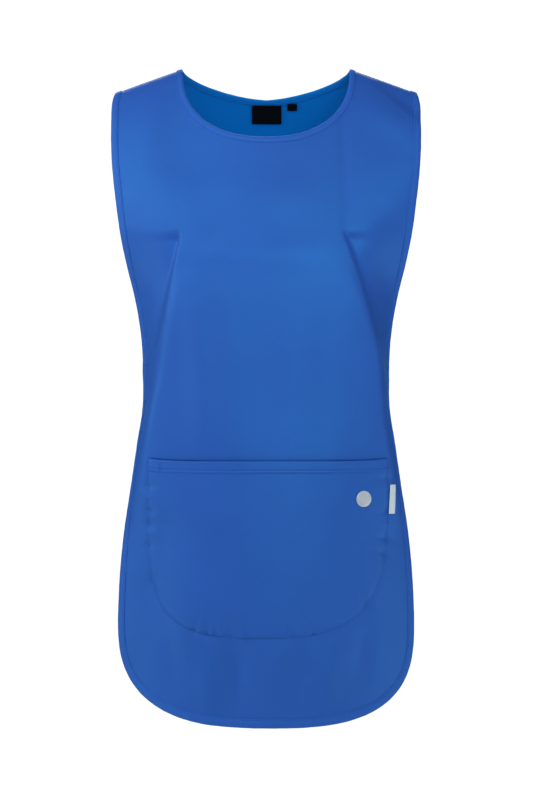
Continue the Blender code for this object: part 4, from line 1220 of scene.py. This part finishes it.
def add_camera():
    data = bpy.data.cameras.new("camera")
    data.lens = CAMERA_LENS
    data.sensor_width = 36.0
    data.dof.use_dof = False
    camera = put("camera", data, CAMERA_PLACE)
    camera.rotation_euler = (math.radians(90), 0, 0)
    bpy.context.scene.camera = camera
    bpy.context.scene.view_settings.view_transform = "Standard"


# ---- Cuts ----


def declare_strip(piece, width, length):
    print(f"{piece.name}: cut {width:.3f} x {length:.3f} m")


def declare_cuts(edge, neck, tabs, label):
    outlines = [[whole_outline(panel)[0], neck_outline(panel)] for panel in (FRONT, BACK)]
    mouth = flatten(FRONT, mouth_line(np.linspace(1, -1, 60)))
    np.concatenate([pocket_line()[0], mouth])
    edge_run, neck_run = (sum(length_of(line) for line in lines) for lines in zip(*outlines))
    declare_strip(edge, 2 * EDGE_BAND + FOLD_CLOTH, edge_run)
    declare_strip(neck, 2 * NECK_BAND + FOLD_CLOTH, neck_run)
    for tab in tabs:
        declare_strip(tab, TAB_HEIGHT, TAB_RUN)
    declare_strip(label, NECK_LABEL.width, NECK_LABEL.height)


# ---- Main ----

def main():
    add_camera()
    add_world()
    add_lamps()
    add_floor()
    thread = twisted_thread("blue_thread", shade(BLUE, 1.05))
    front_cloth, back_cloth = woven("front_cloth", BLUE), woven("back_cloth", BLUE)
    # The back's inner faces and the neck binding's inner side get painted light, a brighter, more cyan copy
    # of the blue.
    painted_light = woven("back_painted_light", INSIDE_PAINTED_LIGHT_BLUE)
    # The binding is the body's cloth made 6% lighter: a painted highlight for the light that the raised
    # binding catches.
    band_cloth = woven("binding_cloth", shade(BLUE, 1.06), bias=math.radians(45), roughness=0.58)
    pocket_cloth, tab_cloth = woven("pocket_cloth", BLUE), woven("tab_cloth", BLUE)
    label_cloth = woven("label_cloth", LABEL_BLACK, thread=0.0003, roughness=0.8, sheen=0, shine=0.06)
    tag_cloth = woven("tag_cloth", TAG_WHITE, thread=0.0003, sheen=0, gloss=(1, 1, 1), shine=0.2)

    front = build_panel("front_cloth", FRONT, front_cloth, fine_levels=(POCKET_TOP,), marks=pocket_marks)
    back = build_panel("back_cloth", BACK, back_cloth, painted_light)
    stitch_shoulders(thread)
    edge = build_binding("edge_strip", False, band_cloth, thread)
    neck = build_binding("neck_strip", True, band_cloth, thread, painted_light)
    pocket, surface = build_pocket(pocket_cloth, thread)
    tabs = [build_tab(name, side, tab_cloth, thread) for name, side in (("left_tab", -1), ("right_tab", 1))]
    inside, outside = -(CLOTH / 2 + LABEL_STAND), CLOTH / 2 + SIDE_TAG_STAND
    label = build_patch("woven_label", BACK, NECK_LABEL, inside, label_cloth)
    size_label = build_patch("woven_size_tag", BACK, SIZE_TAG, inside, label_cloth)
    side_label = build_patch("side_tag", FRONT, SIDE_TAG, outside, tag_cloth)
    badge = build_badge(surface, satin_metal("satin_metal", BADGE_METAL))
    for piece, node, slot in (
        (front, "front_panel", "front_cloth"), (back, "back_panel", "back_cloth"),
        (edge, "edge_binding", "binding_cloth"), (neck, "neck_binding", "binding_cloth"),
        (pocket, "front_pocket", "pocket_cloth"),
        (tabs[0], "side_tab_left", "tab_cloth"), (tabs[1], "side_tab_right", "tab_cloth"),
        (label, "neck_label", "label_cloth"), (size_label, "size_tag", "label_cloth"),
        (side_label, "pocket_side_tag", "tag_cloth"), (badge, "round_badge", "badge_metal"),
    ):
        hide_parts(node)
    declare_cuts(edge, neck, tabs, label)


main()
